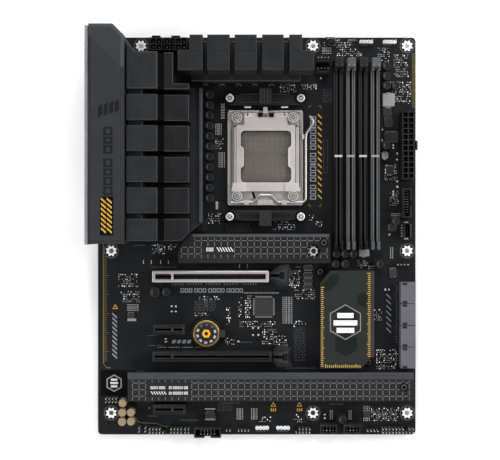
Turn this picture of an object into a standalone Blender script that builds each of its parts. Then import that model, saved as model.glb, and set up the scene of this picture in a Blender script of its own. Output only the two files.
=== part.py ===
"""ATX motherboard at real size, in metres, +Z up.

The origin is the centre of the circuit board's outline, on the plane that the cooler backplate and the
rear shield rest on. +X runs away from the rear ports, +Y towards the processor's end of the board.
Shapes are given in millimetres: x and y from the board's centre, heights from the board's top face.
"""

import math

import bmesh
import bpy
from mathutils import Matrix, Vector

MM = 0.001
GAP = 0.3  # clearance between pieces that touch

# Circuit board, to the ATX standard
BOARD_WIDTH = 243.84
BOARD_LENGTH = 304.80
BOARD_THICKNESS = 1.6
BOARD_CORNER = 3.0
BACKPLATE_THICKNESS = 2.5
BOARD_TOP = BACKPLATE_THICKNESS + GAP + BOARD_THICKNESS
RESTING_LEVEL = -BOARD_TOP
MOUNT_ROWS = {298.45: (33.02, 165.10, 237.49), 140.97: (10.16, 165.10, 237.49), 16.51: (10.16, 165.10, 237.49)}
MOUNT_HOLE_RADIUS = 1.98
MOUNT_PAD_RADIUS = 4.0
MOUNT_PAD_HEIGHT = 0.1

# Processor socket and the cooler's fixing pattern around it
SOCKET_X = 6.5
SOCKET_Y = 59.75
COOLER_PATTERN_X = 54.0
COOLER_PATTERN_Y = 90.0
POST_RADIUS = 3.0
SCREW_SHANK_RADIUS = 1.6
SCREW_HOLE_RADIUS = 1.95
SOCKET_FRAME_TOP = 3.0
LOAD_PLATE_LEVEL = 4.1
LOAD_PLATE_THICKNESS = 1.4
HINGE_Y = 95.3
LEVER_Y = 26.0
LEVER_LEVEL = 4.2
WIRE_RADIUS = 0.8

# Tall parts
COVER_HEIGHT = 42.0
LEFT_FIN_HEIGHT = 38.0
TOP_FIN_HEIGHT = 34.0
FIN_BASE_FOOT = 2.0
FIN_BASE_HEIGHT = 12.0
SHIELD_OUTER_X = -124.4
SHIELD_INNER_X = -122.2
PORT_FRONT_X = -123.1
PORT_BACK_X = -104.0

# Slots and connectors
DIMM_CENTRES = (61.8, 71.1, 80.4, 89.7)
DIMM_WIDTH = 6.6
DIMM_TOP_Y = 133.6
DIMM_BOTTOM_Y = -10.2
DIMM_KEY_Y = 60.6
POWER_PITCH = 4.2
SATA_TOP_Y = -35.0
SATA_PITCH = 16.45
M2_PLATE_LOW = 5.8
M2_PLATE_HIGH = 10.5
PCIE_HEIGHT = 11.0

# Colour, roughness, metallic
LOOKS = {
    "board": ((0.012, 0.013, 0.015), 0.55, 0.0),
    "black_metal": ((0.030, 0.031, 0.034), 0.42, 0.8),
    "cover": ((0.024, 0.025, 0.028), 0.48, 0.0),
    "black_plastic": ((0.012, 0.012, 0.013), 0.45, 0.0),
    "grey_plastic": ((0.145, 0.150, 0.160), 0.50, 0.0),
    "steel": ((0.560, 0.540, 0.530), 0.28, 1.0),
    "plated": ((0.700, 0.700, 0.700), 0.25, 1.0),
    "contacts": ((0.230, 0.210, 0.190), 0.45, 0.3),
    "slate": ((0.055, 0.062, 0.072), 0.45, 0.0),
    "chip": ((0.030, 0.030, 0.032), 0.60, 0.0),
    "cell": ((0.020, 0.020, 0.020), 0.40, 0.6),
}


def clear_scene():
    for obj in list(bpy.data.objects):
        bpy.data.objects.remove(obj, do_unlink=True)


def new_collection(name, hidden=False):
    collection = bpy.data.collections.new(name)
    collection.hide_render = hidden
    bpy.context.scene.collection.children.link(collection)
    return collection


clear_scene()
PARTS = new_collection("motherboard")
CUTTERS = new_collection("cutters", hidden=True)


# ---------------------------------------------------------------- shapes


def at(x, y, height):
    """A point in metres from board millimetres."""
    return Vector((x * MM, y * MM, (BOARD_TOP + height) * MM))


def add_box(bm, x, y, height):
    """Adds a box to bm; each argument is its (low, high) range in millimetres."""
    low = at(x[0], y[0], height[0])
    high = at(x[1], y[1], height[1])
    made = bmesh.ops.create_cube(bm, size=1.0)["verts"]
    bmesh.ops.scale(bm, vec=high - low, verts=made)
    bmesh.ops.translate(bm, vec=(low + high) / 2, verts=made)


def box(x, y, height):
    bm = bmesh.new()
    add_box(bm, x, y, height)
    return bm


def boxes(ranges):
    """One mesh of several boxes that don't touch each other."""
    bm = bmesh.new()
    for x, y, height in ranges:
        add_box(bm, x, y, height)
    return bm


def add_cylinder(bm, centre, height, radius, segments=12, axis="Z"):
    """Adds a cylinder; centre holds the two coordinates across its axis, height its (low, high) range along it."""
    low, high = height
    made = bmesh.ops.create_cone(
        bm,
        cap_ends=True,
        segments=segments,
        radius1=radius * MM,
        radius2=radius * MM,
        depth=(high - low) * MM,
    )["verts"]
    middle = (low + high) / 2
    if axis == "X":
        bmesh.ops.rotate(bm, cent=(0, 0, 0), matrix=Matrix.Rotation(math.pi / 2, 3, "Y"), verts=made)
        bmesh.ops.translate(bm, vec=at(middle, *centre), verts=made)
    else:
        bmesh.ops.translate(bm, vec=at(*centre, middle), verts=made)


def cylinders(centres, height, radius, segments=12, axis="Z"):
    bm = bmesh.new()
    for centre in centres:
        add_cylinder(bm, centre, height, radius, segments, axis)
    return bm


def rounded(corners, radius, steps=3):
    """The outline through corners, with each corner replaced by an arc of the radius."""
    outline = []
    for i, corner in enumerate(corners):
        here = Vector(corner)
        before = (Vector(corners[i - 1]) - here).normalized()
        after = (Vector(corners[(i + 1) % len(corners)]) - here).normalized()
        half_angle = before.angle(after) / 2
        centre = here + (before + after).normalized() * (radius / math.sin(half_angle))
        start = here + before * (radius / math.tan(half_angle)) - centre
        end = here + after * (radius / math.tan(half_angle)) - centre
        turn = start.angle_signed(end)
        for k in range(steps + 1):
            arm = start.copy()
            arm.rotate(Matrix.Rotation(-turn * k / steps, 2))
            outline.append(tuple(centre + arm))
    return outline


def rectangle(x, y):
    return [(x[0], y[0]), (x[1], y[0]), (x[1], y[1]), (x[0], y[1])]


def prism(loops, span, plane="XY"):
    """A flat outline, with holes where loops has more than one, drawn out along the plane's normal over span.

    In the plane YZ an outline's points are (y, height), in XZ they are (x, height).
    """
    curve = bpy.data.curves.new("outline", "CURVE")
    curve.dimensions = "2D"
    curve.fill_mode = "BOTH"
    curve.extrude = (span[1] - span[0]) / 2 * MM
    for loop in loops:
        spline = curve.splines.new("POLY")
        spline.points.add(len(loop) - 1)
        for point, (u, v) in zip(spline.points, loop):
            point.co = (u * MM, v * MM, 0, 1)
        spline.use_cyclic_u = True
    guide = bpy.data.objects.new("outline", curve)
    middle = (span[0] + span[1]) / 2 * MM
    turns = {
        "XY": Matrix(((1, 0, 0, 0), (0, 1, 0, 0), (0, 0, 1, middle + BOARD_TOP * MM), (0, 0, 0, 1))),
        "YZ": Matrix(((0, 0, 1, middle), (1, 0, 0, 0), (0, 1, 0, BOARD_TOP * MM), (0, 0, 0, 1))),
        "XZ": Matrix(((1, 0, 0, 0), (0, 0, -1, middle), (0, 1, 0, BOARD_TOP * MM), (0, 0, 0, 1))),
    }
    guide.matrix_world = turns[plane]
    PARTS.objects.link(guide)
    bpy.context.view_layer.update()
    mesh = bpy.data.meshes.new_from_object(guide.evaluated_get(bpy.context.evaluated_depsgraph_get()))
    bm = bmesh.new()
    bm.from_mesh(mesh)
    bmesh.ops.transform(bm, matrix=guide.matrix_world, verts=bm.verts)
    bmesh.ops.remove_doubles(bm, verts=bm.verts, dist=1e-6)
    bmesh.ops.recalc_face_normals(bm, faces=bm.faces)
    bpy.data.objects.remove(guide)
    bpy.data.curves.remove(curve)
    bpy.data.meshes.remove(mesh)
    return bm


# ---------------------------------------------------------------- objects


def give_material(obj, look):
    colour, roughness, metallic = LOOKS[look]
    material = bpy.data.materials.new(obj.name + "_" + look)
    material.use_nodes = True
    shader = material.node_tree.nodes["Principled BSDF"]
    shader.inputs["Base Color"].default_value = (*colour, 1.0)
    shader.inputs["Roughness"].default_value = roughness
    shader.inputs["Metallic"].default_value = metallic
    material.diffuse_color = (*colour, 1.0)
    obj.data.materials.append(material)


def middle_of(bm):
    """The centre of the shape's base, used as the origin of a piece that stays still."""
    low = Vector([min(v.co[i] for v in bm.verts) for i in range(3)])
    high = Vector([max(v.co[i] for v in bm.verts) for i in range(3)])
    return Vector(((low.x + high.x) / 2, (low.y + high.y) / 2, low.z))


def piece(name, bm, look, origin=None):
    """Makes the named sub-part from a shape, with its origin at a joint's axis or at the middle of its base."""
    origin = middle_of(bm) if origin is None else origin
    bmesh.ops.translate(bm, vec=-origin, verts=bm.verts)
    mesh = bpy.data.meshes.new(name)
    bm.to_mesh(mesh)
    bm.free()
    obj = bpy.data.objects.new(name, mesh)
    obj.location = origin
    PARTS.objects.link(obj)
    give_material(obj, look)
    return obj


def combine(obj, bm, operation, label):
    """Adds a Boolean modifier to obj, with the shape as its operand among the cutters."""
    mesh = bpy.data.meshes.new(obj.name + "_" + label)
    bm.to_mesh(mesh)
    bm.free()
    tool = bpy.data.objects.new(obj.name + "_" + label, mesh)
    tool.hide_render = True
    tool.display_type = "WIRE"
    CUTTERS.objects.link(tool)
    modifier = obj.modifiers.new(label, "BOOLEAN")
    modifier.operation = operation
    modifier.solver = "EXACT"
    modifier.object = tool


def cut(obj, bm, label="cut"):
    combine(obj, bm, "DIFFERENCE", label)


def join(obj, bm, label="join"):
    combine(obj, bm, "UNION", label)


def bevel(obj, width, segments=1):
    modifier = obj.modifiers.new("edges", "BEVEL")
    modifier.width = width * MM
    modifier.segments = segments
    modifier.limit_method = "ANGLE"
    modifier.angle_limit = math.radians(50)
    modifier.harden_normals = False


def shade_round(obj):
    obj.data.shade_smooth()
    obj.data.set_sharp_from_angle(angle=math.radians(35))


def wire(name, points, radius, look, origin):
    """A bent wire through board points, as a curve with a round section and closed ends."""
    curve = bpy.data.curves.new(name, "CURVE")
    curve.dimensions = "3D"
    curve.bevel_depth = radius * MM
    curve.bevel_resolution = 2
    curve.use_fill_caps = True
    spline = curve.splines.new("POLY")
    spline.points.add(len(points) - 1)
    for point, place in zip(spline.points, points):
        point.co = (*(at(*place) - origin), 1)
    obj = bpy.data.objects.new(name, curve)
    obj.location = origin
    PARTS.objects.link(obj)
    give_material(obj, look)
    return obj


def turned(name, profile, centre, look, steps=12):
    """A solid of revolution: profile is (radius, height) from the top of the axis down to its foot."""
    bm = bmesh.new()
    verts = [bm.verts.new((r * MM, 0, h * MM)) for r, h in profile]
    for a, b in zip(verts, verts[1:]):
        bm.edges.new((a, b))
    obj = piece(name, bm, look, origin=Vector((0, 0, 0)))
    obj.location = at(*centre, 0)
    screw = obj.modifiers.new("turn", "SCREW")
    screw.steps = steps
    screw.render_steps = steps
    screw.use_merge_vertices = True
    screw.merge_threshold = 0.00001
    return obj


# ---------------------------------------------------------------- board and fixings


def mount_holes():
    """Centres of the nine mounting holes, which the standard gives from the board's lower left corner."""
    return [(u - BOARD_WIDTH / 2, v - BOARD_LENGTH / 2) for v, columns in MOUNT_ROWS.items() for u in columns]


def cooler_points():
    half_x = COOLER_PATTERN_X / 2
    half_y = COOLER_PATTERN_Y / 2
    return [(SOCKET_X + sx * half_x, SOCKET_Y + sy * half_y) for sy in (1, -1) for sx in (-1, 1)]


def build_board():
    edge = rectangle((-BOARD_WIDTH / 2, BOARD_WIDTH / 2), (-BOARD_LENGTH / 2, BOARD_LENGTH / 2))
    board = piece("pcb", prism([rounded(edge, BOARD_CORNER)], (-BOARD_THICKNESS, 0)), "board")
    pad_span = (-BOARD_THICKNESS - MOUNT_PAD_HEIGHT, MOUNT_PAD_HEIGHT)
    join(board, cylinders(mount_holes(), pad_span, MOUNT_PAD_RADIUS, 16), "pads")
    through = (-BOARD_THICKNESS - 1, 1)
    holes = cylinders(mount_holes(), through, MOUNT_HOLE_RADIUS, 12)
    for centre in cooler_points():
        add_cylinder(holes, centre, through, POST_RADIUS + GAP, 12)
    cut(board, holes, "holes")


def build_backplate():
    half_x = COOLER_PATTERN_X / 2 + 5.5
    half_y = COOLER_PATTERN_Y / 2 + 6.0
    waist = half_x - 7.5
    right = [(half_x, -half_y), (half_x, -half_y + 19), (waist, -half_y + 27)]
    right += [(waist, half_y - 27), (half_x, half_y - 19), (half_x, half_y)]
    outline = right + [(-x, -y) for x, y in right]
    outline = [(SOCKET_X + x, SOCKET_Y + y) for x, y in rounded(outline, 3.0, 2)]
    window = rounded(rectangle((SOCKET_X - 14, SOCKET_X + 14), (SOCKET_Y - 14, SOCKET_Y + 14)), 3.0, 2)
    top = RESTING_LEVEL + BACKPLATE_THICKNESS
    plate = piece("cooler_backplate", prism([outline, window], (RESTING_LEVEL, top)), "black_metal")
    join(plate, cylinders(cooler_points(), (top - 1, -0.1), POST_RADIUS), "posts")
    cut(plate, cylinders(cooler_points(), (RESTING_LEVEL + 1, 1), SCREW_HOLE_RADIUS), "threads")


def build_cooler_bracket(name, side):
    """A black bar across the socket's end, with a hook in the middle; side is +1 above the socket, -1 below."""
    screw_y = SOCKET_Y + side * COOLER_PATTERN_Y / 2
    half = COOLER_PATTERN_X / 2
    across = sorted((screw_y - side * 5.0, screw_y + side * 2.6))
    bar = piece(name, box((SOCKET_X - half, SOCKET_X + half), across, (GAP, 6.3)), "black_plastic")
    screws = [(SOCKET_X - half, screw_y), (SOCKET_X + half, screw_y)]
    ends = cylinders(screws, (GAP, 6.3), 4.4, 16)
    hook = sorted((screw_y - side * 4.6, screw_y + side * 7.0))
    add_box(ends, (SOCKET_X - 4.6, SOCKET_X + 4.6), hook, (GAP + 0.5, 9.6))
    join(bar, ends, "ends")
    cut(bar, cylinders(screws, (-1, 8), SCREW_HOLE_RADIUS), "holes")


def build_cooler_screws():
    shank_foot = -1.2
    under_head = 6.6
    profile = [(0, 8.9), (2.6, 8.9), (3.1, 8.4), (3.1, under_head), (SCREW_SHANK_RADIUS, under_head)]
    profile += [(SCREW_SHANK_RADIUS, shank_foot + 0.5), (1.1, shank_foot), (0, shank_foot)]
    for number, centre in enumerate(cooler_points(), 1):
        shade_round(turned(f"cooler_screw_{number}", profile, centre, "plated"))


# ---------------------------------------------------------------- processor socket


def socket_box(half_x, half_y):
    return (SOCKET_X - half_x, SOCKET_X + half_x), (SOCKET_Y - half_y, SOCKET_Y + half_y)


def build_socket_housing():
    housing = piece("cpu_socket_housing", box(*socket_box(24.2, 24.2), (GAP, SOCKET_FRAME_TOP)), "contacts")
    cut(housing, box(*socket_box(20.2, 20.6), (1.2, 4.0)), "cavity")


def build_socket_frame():
    outer = rounded(rectangle(*socket_box(28.8, 36.2)), 1.5, 2)
    inner = rectangle(*socket_box(24.6, 24.6))
    frame = piece("cpu_socket_frame", prism([outer, inner], (GAP, SOCKET_FRAME_TOP)), "steel")
    low = SOCKET_FRAME_TOP - 0.8
    clip_foot = LOAD_PLATE_LEVEL + 1.2
    clip_top = clip_foot + 0.6
    wire_top = LEVER_LEVEL + WIRE_RADIUS + GAP
    ears = bmesh.new()
    for x in (SOCKET_X - 27.6, SOCKET_X + 26.4):
        add_box(ears, (x, x + 1.2), (HINGE_Y - 1.2, HINGE_Y + 0.6), (low, clip_foot + 0.1))
    join(frame, ears, "hinge_ears")
    posts = bmesh.new()
    for x in (SOCKET_X - 16.2, SOCKET_X + 12.6):
        add_box(posts, (x, x + 3.6), (LEVER_Y - 2.3, LEVER_Y - 1.3), (low, wire_top + 0.7))
    catch_x = SOCKET_X + 28.0
    add_box(posts, (catch_x, catch_x + 1.6), (74.0, 77.5), (low, LEVER_LEVEL + 1.6))
    add_box(posts, (SOCKET_X - 5.9, SOCKET_X + 5.9), (23.7, 27.4), (low, LEVER_LEVEL + 0.3))
    add_box(posts, (SOCKET_X - 1.6, SOCKET_X + 1.6), (95.6, 98.2), (GAP, clip_top))
    join(frame, posts, "posts")
    roofs = bmesh.new()
    for x in (SOCKET_X - 16.2, SOCKET_X + 12.6):
        add_box(roofs, (x, x + 3.6), (LEVER_Y - 2.0, LEVER_Y + 1.4), (wire_top, wire_top + 0.7))
    add_box(roofs, (SOCKET_X - 1.6, SOCKET_X + 1.6), (93.4, 98.0), (clip_foot, clip_top))
    join(frame, roofs, "roofs")
    cut(frame, box((SOCKET_X - 1.7, SOCKET_X + 1.7), (94.2, 96.6), (SOCKET_FRAME_TOP, clip_foot)), "wire_gap")


def build_load_plate():
    """The hinged plate that clamps the processor; it opens upwards about the hinge wire."""
    front = 34.0
    shoulder = SOCKET_Y + 24.9
    rear = HINGE_Y - WIRE_RADIUS - GAP
    outline = [(-25.3, front), (25.3, front), (25.3, shoulder), (16.6, shoulder), (16.6, rear), (6.2, rear)]
    outline += [(6.2, 90.6), (-6.2, 90.6), (-6.2, rear), (-16.6, rear), (-16.6, shoulder), (-25.3, shoulder)]
    outline = [(SOCKET_X + x, y) for x, y in rounded(outline, 0.8, 1)]
    tab = 16.7
    wide = 18.95
    right = [(wide, -19.0), (wide, -6.0), (tab, -4.6), (tab, 5.4), (wide, 6.8), (wide, 19.2)]
    left = [(-x, y) for x, y in reversed(right)]
    window = [(SOCKET_X + x, SOCKET_Y + 0.5 + y) for x, y in rounded(right + left, 0.9, 2)]
    span = (LOAD_PLATE_LEVEL - LOAD_PLATE_THICKNESS / 2, LOAD_PLATE_LEVEL + LOAD_PLATE_THICKNESS / 2)
    piece("cpu_load_plate", prism([outline, window], span), "steel", origin=at(SOCKET_X, HINGE_Y, LOAD_PLATE_LEVEL))


def build_hinge_wire():
    level = LOAD_PLATE_LEVEL + 0.05
    half = 26.0
    bend = [(half, 0), (6.0, 0), (3.2, -0.4), (2.4, -0.4), (-2.4, -0.4), (-3.2, -0.4), (-6.0, 0), (-half, 0)]
    points = [(SOCKET_X - x, HINGE_Y + dy, level) for x, dy in bend]
    wire("cpu_hinge_wire", points, WIRE_RADIUS - 0.1, "steel", at(SOCKET_X, HINGE_Y, level))


def arc(centre, radius, start, end, steps):
    angles = [math.radians(start + (end - start) * k / steps) for k in range(steps + 1)]
    return [(centre[0] + radius * math.cos(a), centre[1] + radius * math.sin(a)) for a in angles]


def build_lever():
    """The cranked wire lever: it turns in the frame's lower clips, and its arm lies flat beside the plate."""
    arm_x = 37.4
    crank = [(-19.6, LEVER_Y), (-3.4, LEVER_Y), (-2.2, LEVER_Y + 0.6), (1.4, LEVER_Y + 4.8), (2.8, LEVER_Y + 5.4)]
    crank += [(2 * SOCKET_X - x, y) for x, y in reversed(crank[1:])]
    corner = arc((arm_x - 3, LEVER_Y + 3), 3.0, -90, 0, 4)
    handle = [(arm_x, 76.0), (arm_x + 0.6, 78.4), (41.4, 83.6), (43.0, 86.2), (43.1, 88.2), (42.0, 90.0), (40.3, 91.6)]
    points = [(x, y, LEVER_LEVEL) for x, y in crank + corner + handle]
    wire("cpu_load_lever", points, WIRE_RADIUS, "plated", at(SOCKET_X, LEVER_Y, LEVER_LEVEL))


# ---------------------------------------------------------------- heatsinks and covers

FIN_ROWS = ((-3.4, 12.7), (16.7, 35.3), (39.3, 57.8), (61.8, 80.4), (84.1, 103.0))


def build_left_heatsink():
    """Two columns of finned blocks on one base, over the power stages beside the rear cover."""
    base = [(-94.9, -3.6), (-59.6, -3.6), (-41.0, 10.2), (-41.0, 111.5), (-61.0, 111.5), (-61.0, 134.2)]
    base += [(-88.4, 134.2), (-94.9, 141.8)]
    heatsink = piece("vrm_heatsink_left", prism([base], (FIN_BASE_FOOT, FIN_BASE_HEIGHT)), "black_metal")
    blocks = bmesh.new()
    low = FIN_BASE_HEIGHT - 1
    for number, y in enumerate(FIN_ROWS):
        add_box(blocks, (-94.9, -72.3), y, (low, LEFT_FIN_HEIGHT))
        if number:
            add_box(blocks, (-67.9, -49.7), y, (low, TOP_FIN_HEIGHT))
    join(heatsink, blocks, "blocks")
    low_corner = [(-67.9, -3.4), (-55.8, -3.4), (-49.7, 2.6), (-49.7, 12.7), (-67.9, 12.7)]
    join(heatsink, prism([low_corner], (low, TOP_FIN_HEIGHT)), "cut_block")
    top_left = [(-94.9, 107.0), (-72.3, 107.0), (-72.3, 133.8), (-88.4, 133.8), (-94.9, 141.6)]
    join(heatsink, prism([top_left], (low, LEFT_FIN_HEIGHT)), "top_left_block")
    top_right = [(-67.9, 107.0), (-49.7, 107.0), (-49.7, 111.3), (-61.2, 111.3), (-61.2, 134.0), (-67.9, 134.0)]
    join(heatsink, prism([top_right], (low, TOP_FIN_HEIGHT)), "top_right_block")
    join(heatsink, box((-94.7, -83.6), (-3.0, 133.0), (low, LEFT_FIN_HEIGHT - 4)), "spine")
    feet = [(-90.0, 3.0), (-50.0, 14.0), (-90.0, 128.0), (-50.0, 104.0)]
    join(heatsink, cylinders(feet, (GAP, FIN_BASE_FOOT + 1), 3.0, 8), "feet")


def build_top_heatsink():
    """Five finned blocks on one base, above the socket."""
    base = box((-49.5, 33.0), (116.8, 147.2), (FIN_BASE_FOOT, FIN_BASE_HEIGHT))
    heatsink = piece("vrm_heatsink_top", base, "black_metal")
    low = FIN_BASE_HEIGHT - 1
    blocks = bmesh.new()
    for x in ((-36.3, -20.0), (-16.4, -0.3), (3.7, 19.3)):
        add_box(blocks, x, (121.3, 147.0), (low, TOP_FIN_HEIGHT))
    join(heatsink, blocks, "blocks")
    low = FIN_BASE_FOOT + 1
    left = [(-58.0, 121.4), (-39.7, 121.4), (-39.7, 146.9), (-49.3, 146.9), (-49.3, 135.5), (-58.0, 135.5)]
    join(heatsink, prism([left], (low, TOP_FIN_HEIGHT)), "left_block")
    right = [(23.6, 121.4), (41.5, 121.4), (41.5, 135.5), (32.8, 135.5), (32.8, 146.9), (23.6, 146.9)]
    join(heatsink, prism([right], (low, TOP_FIN_HEIGHT)), "right_block")
    feet = [(-45.0, 141.0), (-45.0, 122.0), (28.0, 141.0), (28.0, 122.0)]
    join(heatsink, cylinders(feet, (GAP, FIN_BASE_FOOT + 1), 3.0, 8), "feet")


def build_m2_heatsink(name, outline, leg_spans, hole=None):
    """A flat cover over a storage card's bay, standing on a leg at each end."""
    plate = piece(name, prism([outline], (M2_PLATE_LOW, M2_PLATE_HIGH)), "black_metal")
    join(plate, boxes([(x, y, (GAP, M2_PLATE_LOW + 0.6)) for x, y in leg_spans]), "legs")
    if hole:
        cut(plate, cylinders([hole], (0, M2_PLATE_HIGH + 2), 5.2, 16), "screw_hole")


def build_m2_parts():
    upper = [(-59.6, -20.4), (55.5, -20.4), (55.5, 1.9), (-49.8, 1.9), (-55.4, -4.0), (-59.6, -12.0)]
    build_m2_heatsink("m2_heatsink_upper", upper, (((-58.6, -54.0), (-19.6, -13.0)), ((51.5, 54.7), (-19.6, 1.1))),
                      hole=mount_holes()[4])
    lower = rectangle((-97.6, 118.9), (-124.9, -103.2))
    build_m2_heatsink("m2_heatsink_lower", rounded(lower, 1.0, 2), (((-96.8, -93.0), (-124, -104)),
                      ((1.0, 4.0), (-124, -104)), ((114.0, 118.0), (-124, -104))))
    for number, (x, y) in enumerate(((-51.8, -9.2), (-91.6, -114.0)), 1):
        socket = piece(f"m2_socket_{number}", box((x, x + 6.0), (y - 10.9, y + 10.9), (GAP, 4.3)), "black_plastic")
        cut(socket, box((x + 2.6, x + 7), (y - 9.8, y + 9.8), (2.1, 3.2)), "slot")
        pivot = (x + 87.4, y)
        latch = piece(f"m2_latch_{number}", cylinders([pivot], (GAP, 3.1), 2.4), "black_plastic",
                      origin=at(*pivot, 0))
        join(latch, box((pivot[0] - 4.2, pivot[0] + 1.7), (y - 1.5, y + 1.5), (2.6, 4.5)), "arm")


def build_chipset():
    piece("chipset_chip", box((55.0, 79.0), (-75.0, -51.0), (GAP, 2.0)), "chip")
    outline = [(47.9, -100.0), (79.0, -100.0), (85.8, -92.3), (88.8, -92.3), (88.8, -26.1), (56.1, -26.1), (47.9, -35.7)]
    heatsink = piece("chipset_heatsink", prism([outline], (2.3, 10.5)), "black_metal")
    join(heatsink, cylinders([(50.5, -96.0), (84.0, -30.5)], (GAP, 3.0), 2.0, 8), "feet")
    cut(heatsink, box((86.2, 90.0), (-102.0, -20.0), (7.5, 12.0)), "ledge")


def build_io_cover():
    """The shell over the rear ports, open below and towards the ports."""
    wall = 1.5
    outer = [(-121.9, -5.4), (-95.9, -5.4), (-95.9, 143.6), (-104.4, 152.2), (-121.9, 152.2)]
    inner = [(-123.0, -5.4 + wall), (-95.9 - wall, -5.4 + wall), (-95.9 - wall, 142.9), (-105.1, 152.2 - wall)]
    inner += [(-123.0, 152.2 - wall)]
    cover = piece("io_cover", prism([outer], (0.4, COVER_HEIGHT)), "cover")
    bevel(cover, 1.6)
    cut(cover, prism([inner], (-2, COVER_HEIGHT - wall)), "hollow")


# ---------------------------------------------------------------- rear ports

USB_OPENING = (12.2, 1.5)


def usb_pockets(centre_y, level):
    """The two gaps above and below the tongue of one USB-A port."""
    half = USB_OPENING[0] / 2
    y = (centre_y - half, centre_y + half)
    x = (PORT_FRONT_X - 1, PORT_FRONT_X + 9)
    return [(x, y, (level + s - USB_OPENING[1] / 2, level + s + USB_OPENING[1] / 2)) for s in (-1.7, 1.7)]


def build_port(name, centre_y, width, height, pockets, look="plated"):
    y = (centre_y - width / 2, centre_y + width / 2)
    port = piece(name, box((PORT_FRONT_X, PORT_BACK_X), y, (GAP, height)), look)
    cut(port, boxes(pockets), "openings")
    return (centre_y - width / 2 + 0.8, centre_y + width / 2 - 0.8), (0.8, height - 0.6)


def build_rear_ports():
    """The stacks of ports along the board's rear edge, and the shield with a cut-out for each."""
    front = (PORT_FRONT_X - 1, PORT_FRONT_X + 9)
    video = [(front, (133.2, 147.8), (19.9, 21.3)), (front, (133.2, 147.8), (22.9, 24.3))]
    video += [(front, (132.6, 148.4), (6.4, 7.8)), (front, (132.6, 148.4), (9.4, 10.8))]
    windows = [build_port("video_port_stack", 140.5, 18.0, 27.0, video)]
    for number, y in enumerate((108.5, 66.0), 1):
        pockets = usb_pockets(y, 4.4) + usb_pockets(y, 11.9)
        windows.append(build_port(f"usb_port_stack_{number}", y, 14.4, 15.9, pockets))
    y = 88.0
    pockets = usb_pockets(y, 11.9) + [(front, (y - 4.2, y + 4.2), (2.9, 3.8)), (front, (y - 4.2, y + 4.2), (4.6, 5.5))]
    windows.append(build_port("usbc_port_stack", y, 14.4, 15.9, pockets))
    y = 45.0
    lan = ((PORT_FRONT_X - 1, PORT_FRONT_X + 12), (y - 6.0, y + 6.0), (18.6, 27.4))
    pockets = usb_pockets(y, 4.4) + usb_pockets(y, 11.9) + [lan]
    windows.append(build_port("lan_port_stack", y, 16.4, 30.0, pockets))

    audio_y = 14.0
    audio = piece("audio_jack_block", box((PORT_FRONT_X, PORT_BACK_X), (audio_y - 13, audio_y + 13), (GAP, 34.0)),
                  "black_plastic")
    jacks = [(audio_y + dy, level) for dy in (-6.5, 6.5) for level in (6.0, 17.2, 28.4)]
    cut(audio, cylinders(jacks, front, 1.85, 8, "X"), "bores")

    switch_y = 125.6
    switch = piece("bios_switch", box((-117.5, -108.0), (switch_y - 3.5, switch_y + 3.5), (GAP, 8.5)), "black_plastic")
    pocket = ((-119.0, -113.9), (switch_y - 2.4, switch_y + 2.4), (2.4, 7.2))
    cut(switch, boxes([pocket]), "pocket")
    button = piece("bios_button", box((-124.8, -116.0), (switch_y - 2.0, switch_y + 2.0), (2.8, 6.8)), "grey_plastic",
                   origin=at(-124.8, switch_y, 4.8))
    bevel(button, 0.3)

    shield_y = (-6.0, 152.2)
    shield = piece("io_shield", box((SHIELD_OUTER_X, SHIELD_INNER_X), shield_y, (RESTING_LEVEL, 40.2)), "steel")
    holes = bmesh.new()
    plate_inner = SHIELD_OUTER_X + 1.0
    through = (SHIELD_OUTER_X - 1, plate_inner + 0.5)
    for window_y, height in windows:
        add_box(holes, through, window_y, height)
    add_box(holes, through, (switch_y - 2.4, switch_y + 2.4), (2.4, 7.2))
    for centre in jacks:
        add_cylinder(holes, centre, through, 3.6, 12, "X")
    tray = box((plate_inner, SHIELD_INNER_X + 1), (shield_y[0] + 1, shield_y[1] - 1), (RESTING_LEVEL + 1, 39.2))
    cut(shield, tray, "tray")
    cut(shield, holes, "port_holes")


# ---------------------------------------------------------------- slots and connectors


def build_dimm_slots():
    """Four memory slots, each with a latch that swings out at its upper end and a fixed lower end."""
    pivot_y = 129.5
    pivot_level = 4.5
    outline = [(-2.2, -1.6), (1.8, -1.6), (2.6, 2.0), (3.4, 9.6), (3.4, 11.6), (-3.0, 11.6), (-2.6, 6.0), (-2.2, 2.0)]
    for number, x in enumerate(DIMM_CENTRES, 1):
        look = "black_plastic" if number % 2 else "grey_plastic"
        wide = (x - DIMM_WIDTH / 2, x + DIMM_WIDTH / 2)
        body = [(DIMM_BOTTOM_Y, GAP), (DIMM_TOP_Y, GAP), (DIMM_TOP_Y, 13.6), (124.6, 13.6), (123.2, 9.2), (-3.0, 9.2)]
        body += [(-4.6, 12.6), (DIMM_BOTTOM_Y, 12.6)]
        slot = piece(f"dimm_slot_{number}", prism([body], wide, "YZ"), look)
        groove = (x - 0.9, x + 0.9)
        grooves = [(groove, (-6.5, DIMM_KEY_Y - 0.9), (3.0, 15.0)), (groove, (DIMM_KEY_Y + 0.9, 123.0), (3.0, 15.0))]
        grooves.append(((x - 2.2, x + 2.2), (124.0, DIMM_TOP_Y + 1), (1.8, 15.0)))
        cut(slot, boxes(grooves), "grooves")
        shape = [(pivot_y + y, pivot_level + z) for y, z in outline]
        piece(f"dimm_latch_{number}", prism([shape], (x - 1.8, x + 1.8), "YZ"), look,
              origin=at(x, pivot_y, pivot_level))


def build_pcie_latch(name, left, y, look):
    """The release lever at a slot's end: pressing its outer end down turns its hook away from the card."""
    pivot = (left + 3.4, 3.0)
    outline = [(-2.6, -1.9), (1.8, -1.9), (3.0, 2.5), (11.8, 4.2), (11.8, 7.2), (1.5, 8.3), (-2.9, 8.3)]
    shape = [(pivot[0] + x, pivot[1] + z) for x, z in outline]
    piece(name, prism([shape], y, "XZ"), look, origin=at(pivot[0], (y[0] + y[1]) / 2, pivot[1]))


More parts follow.
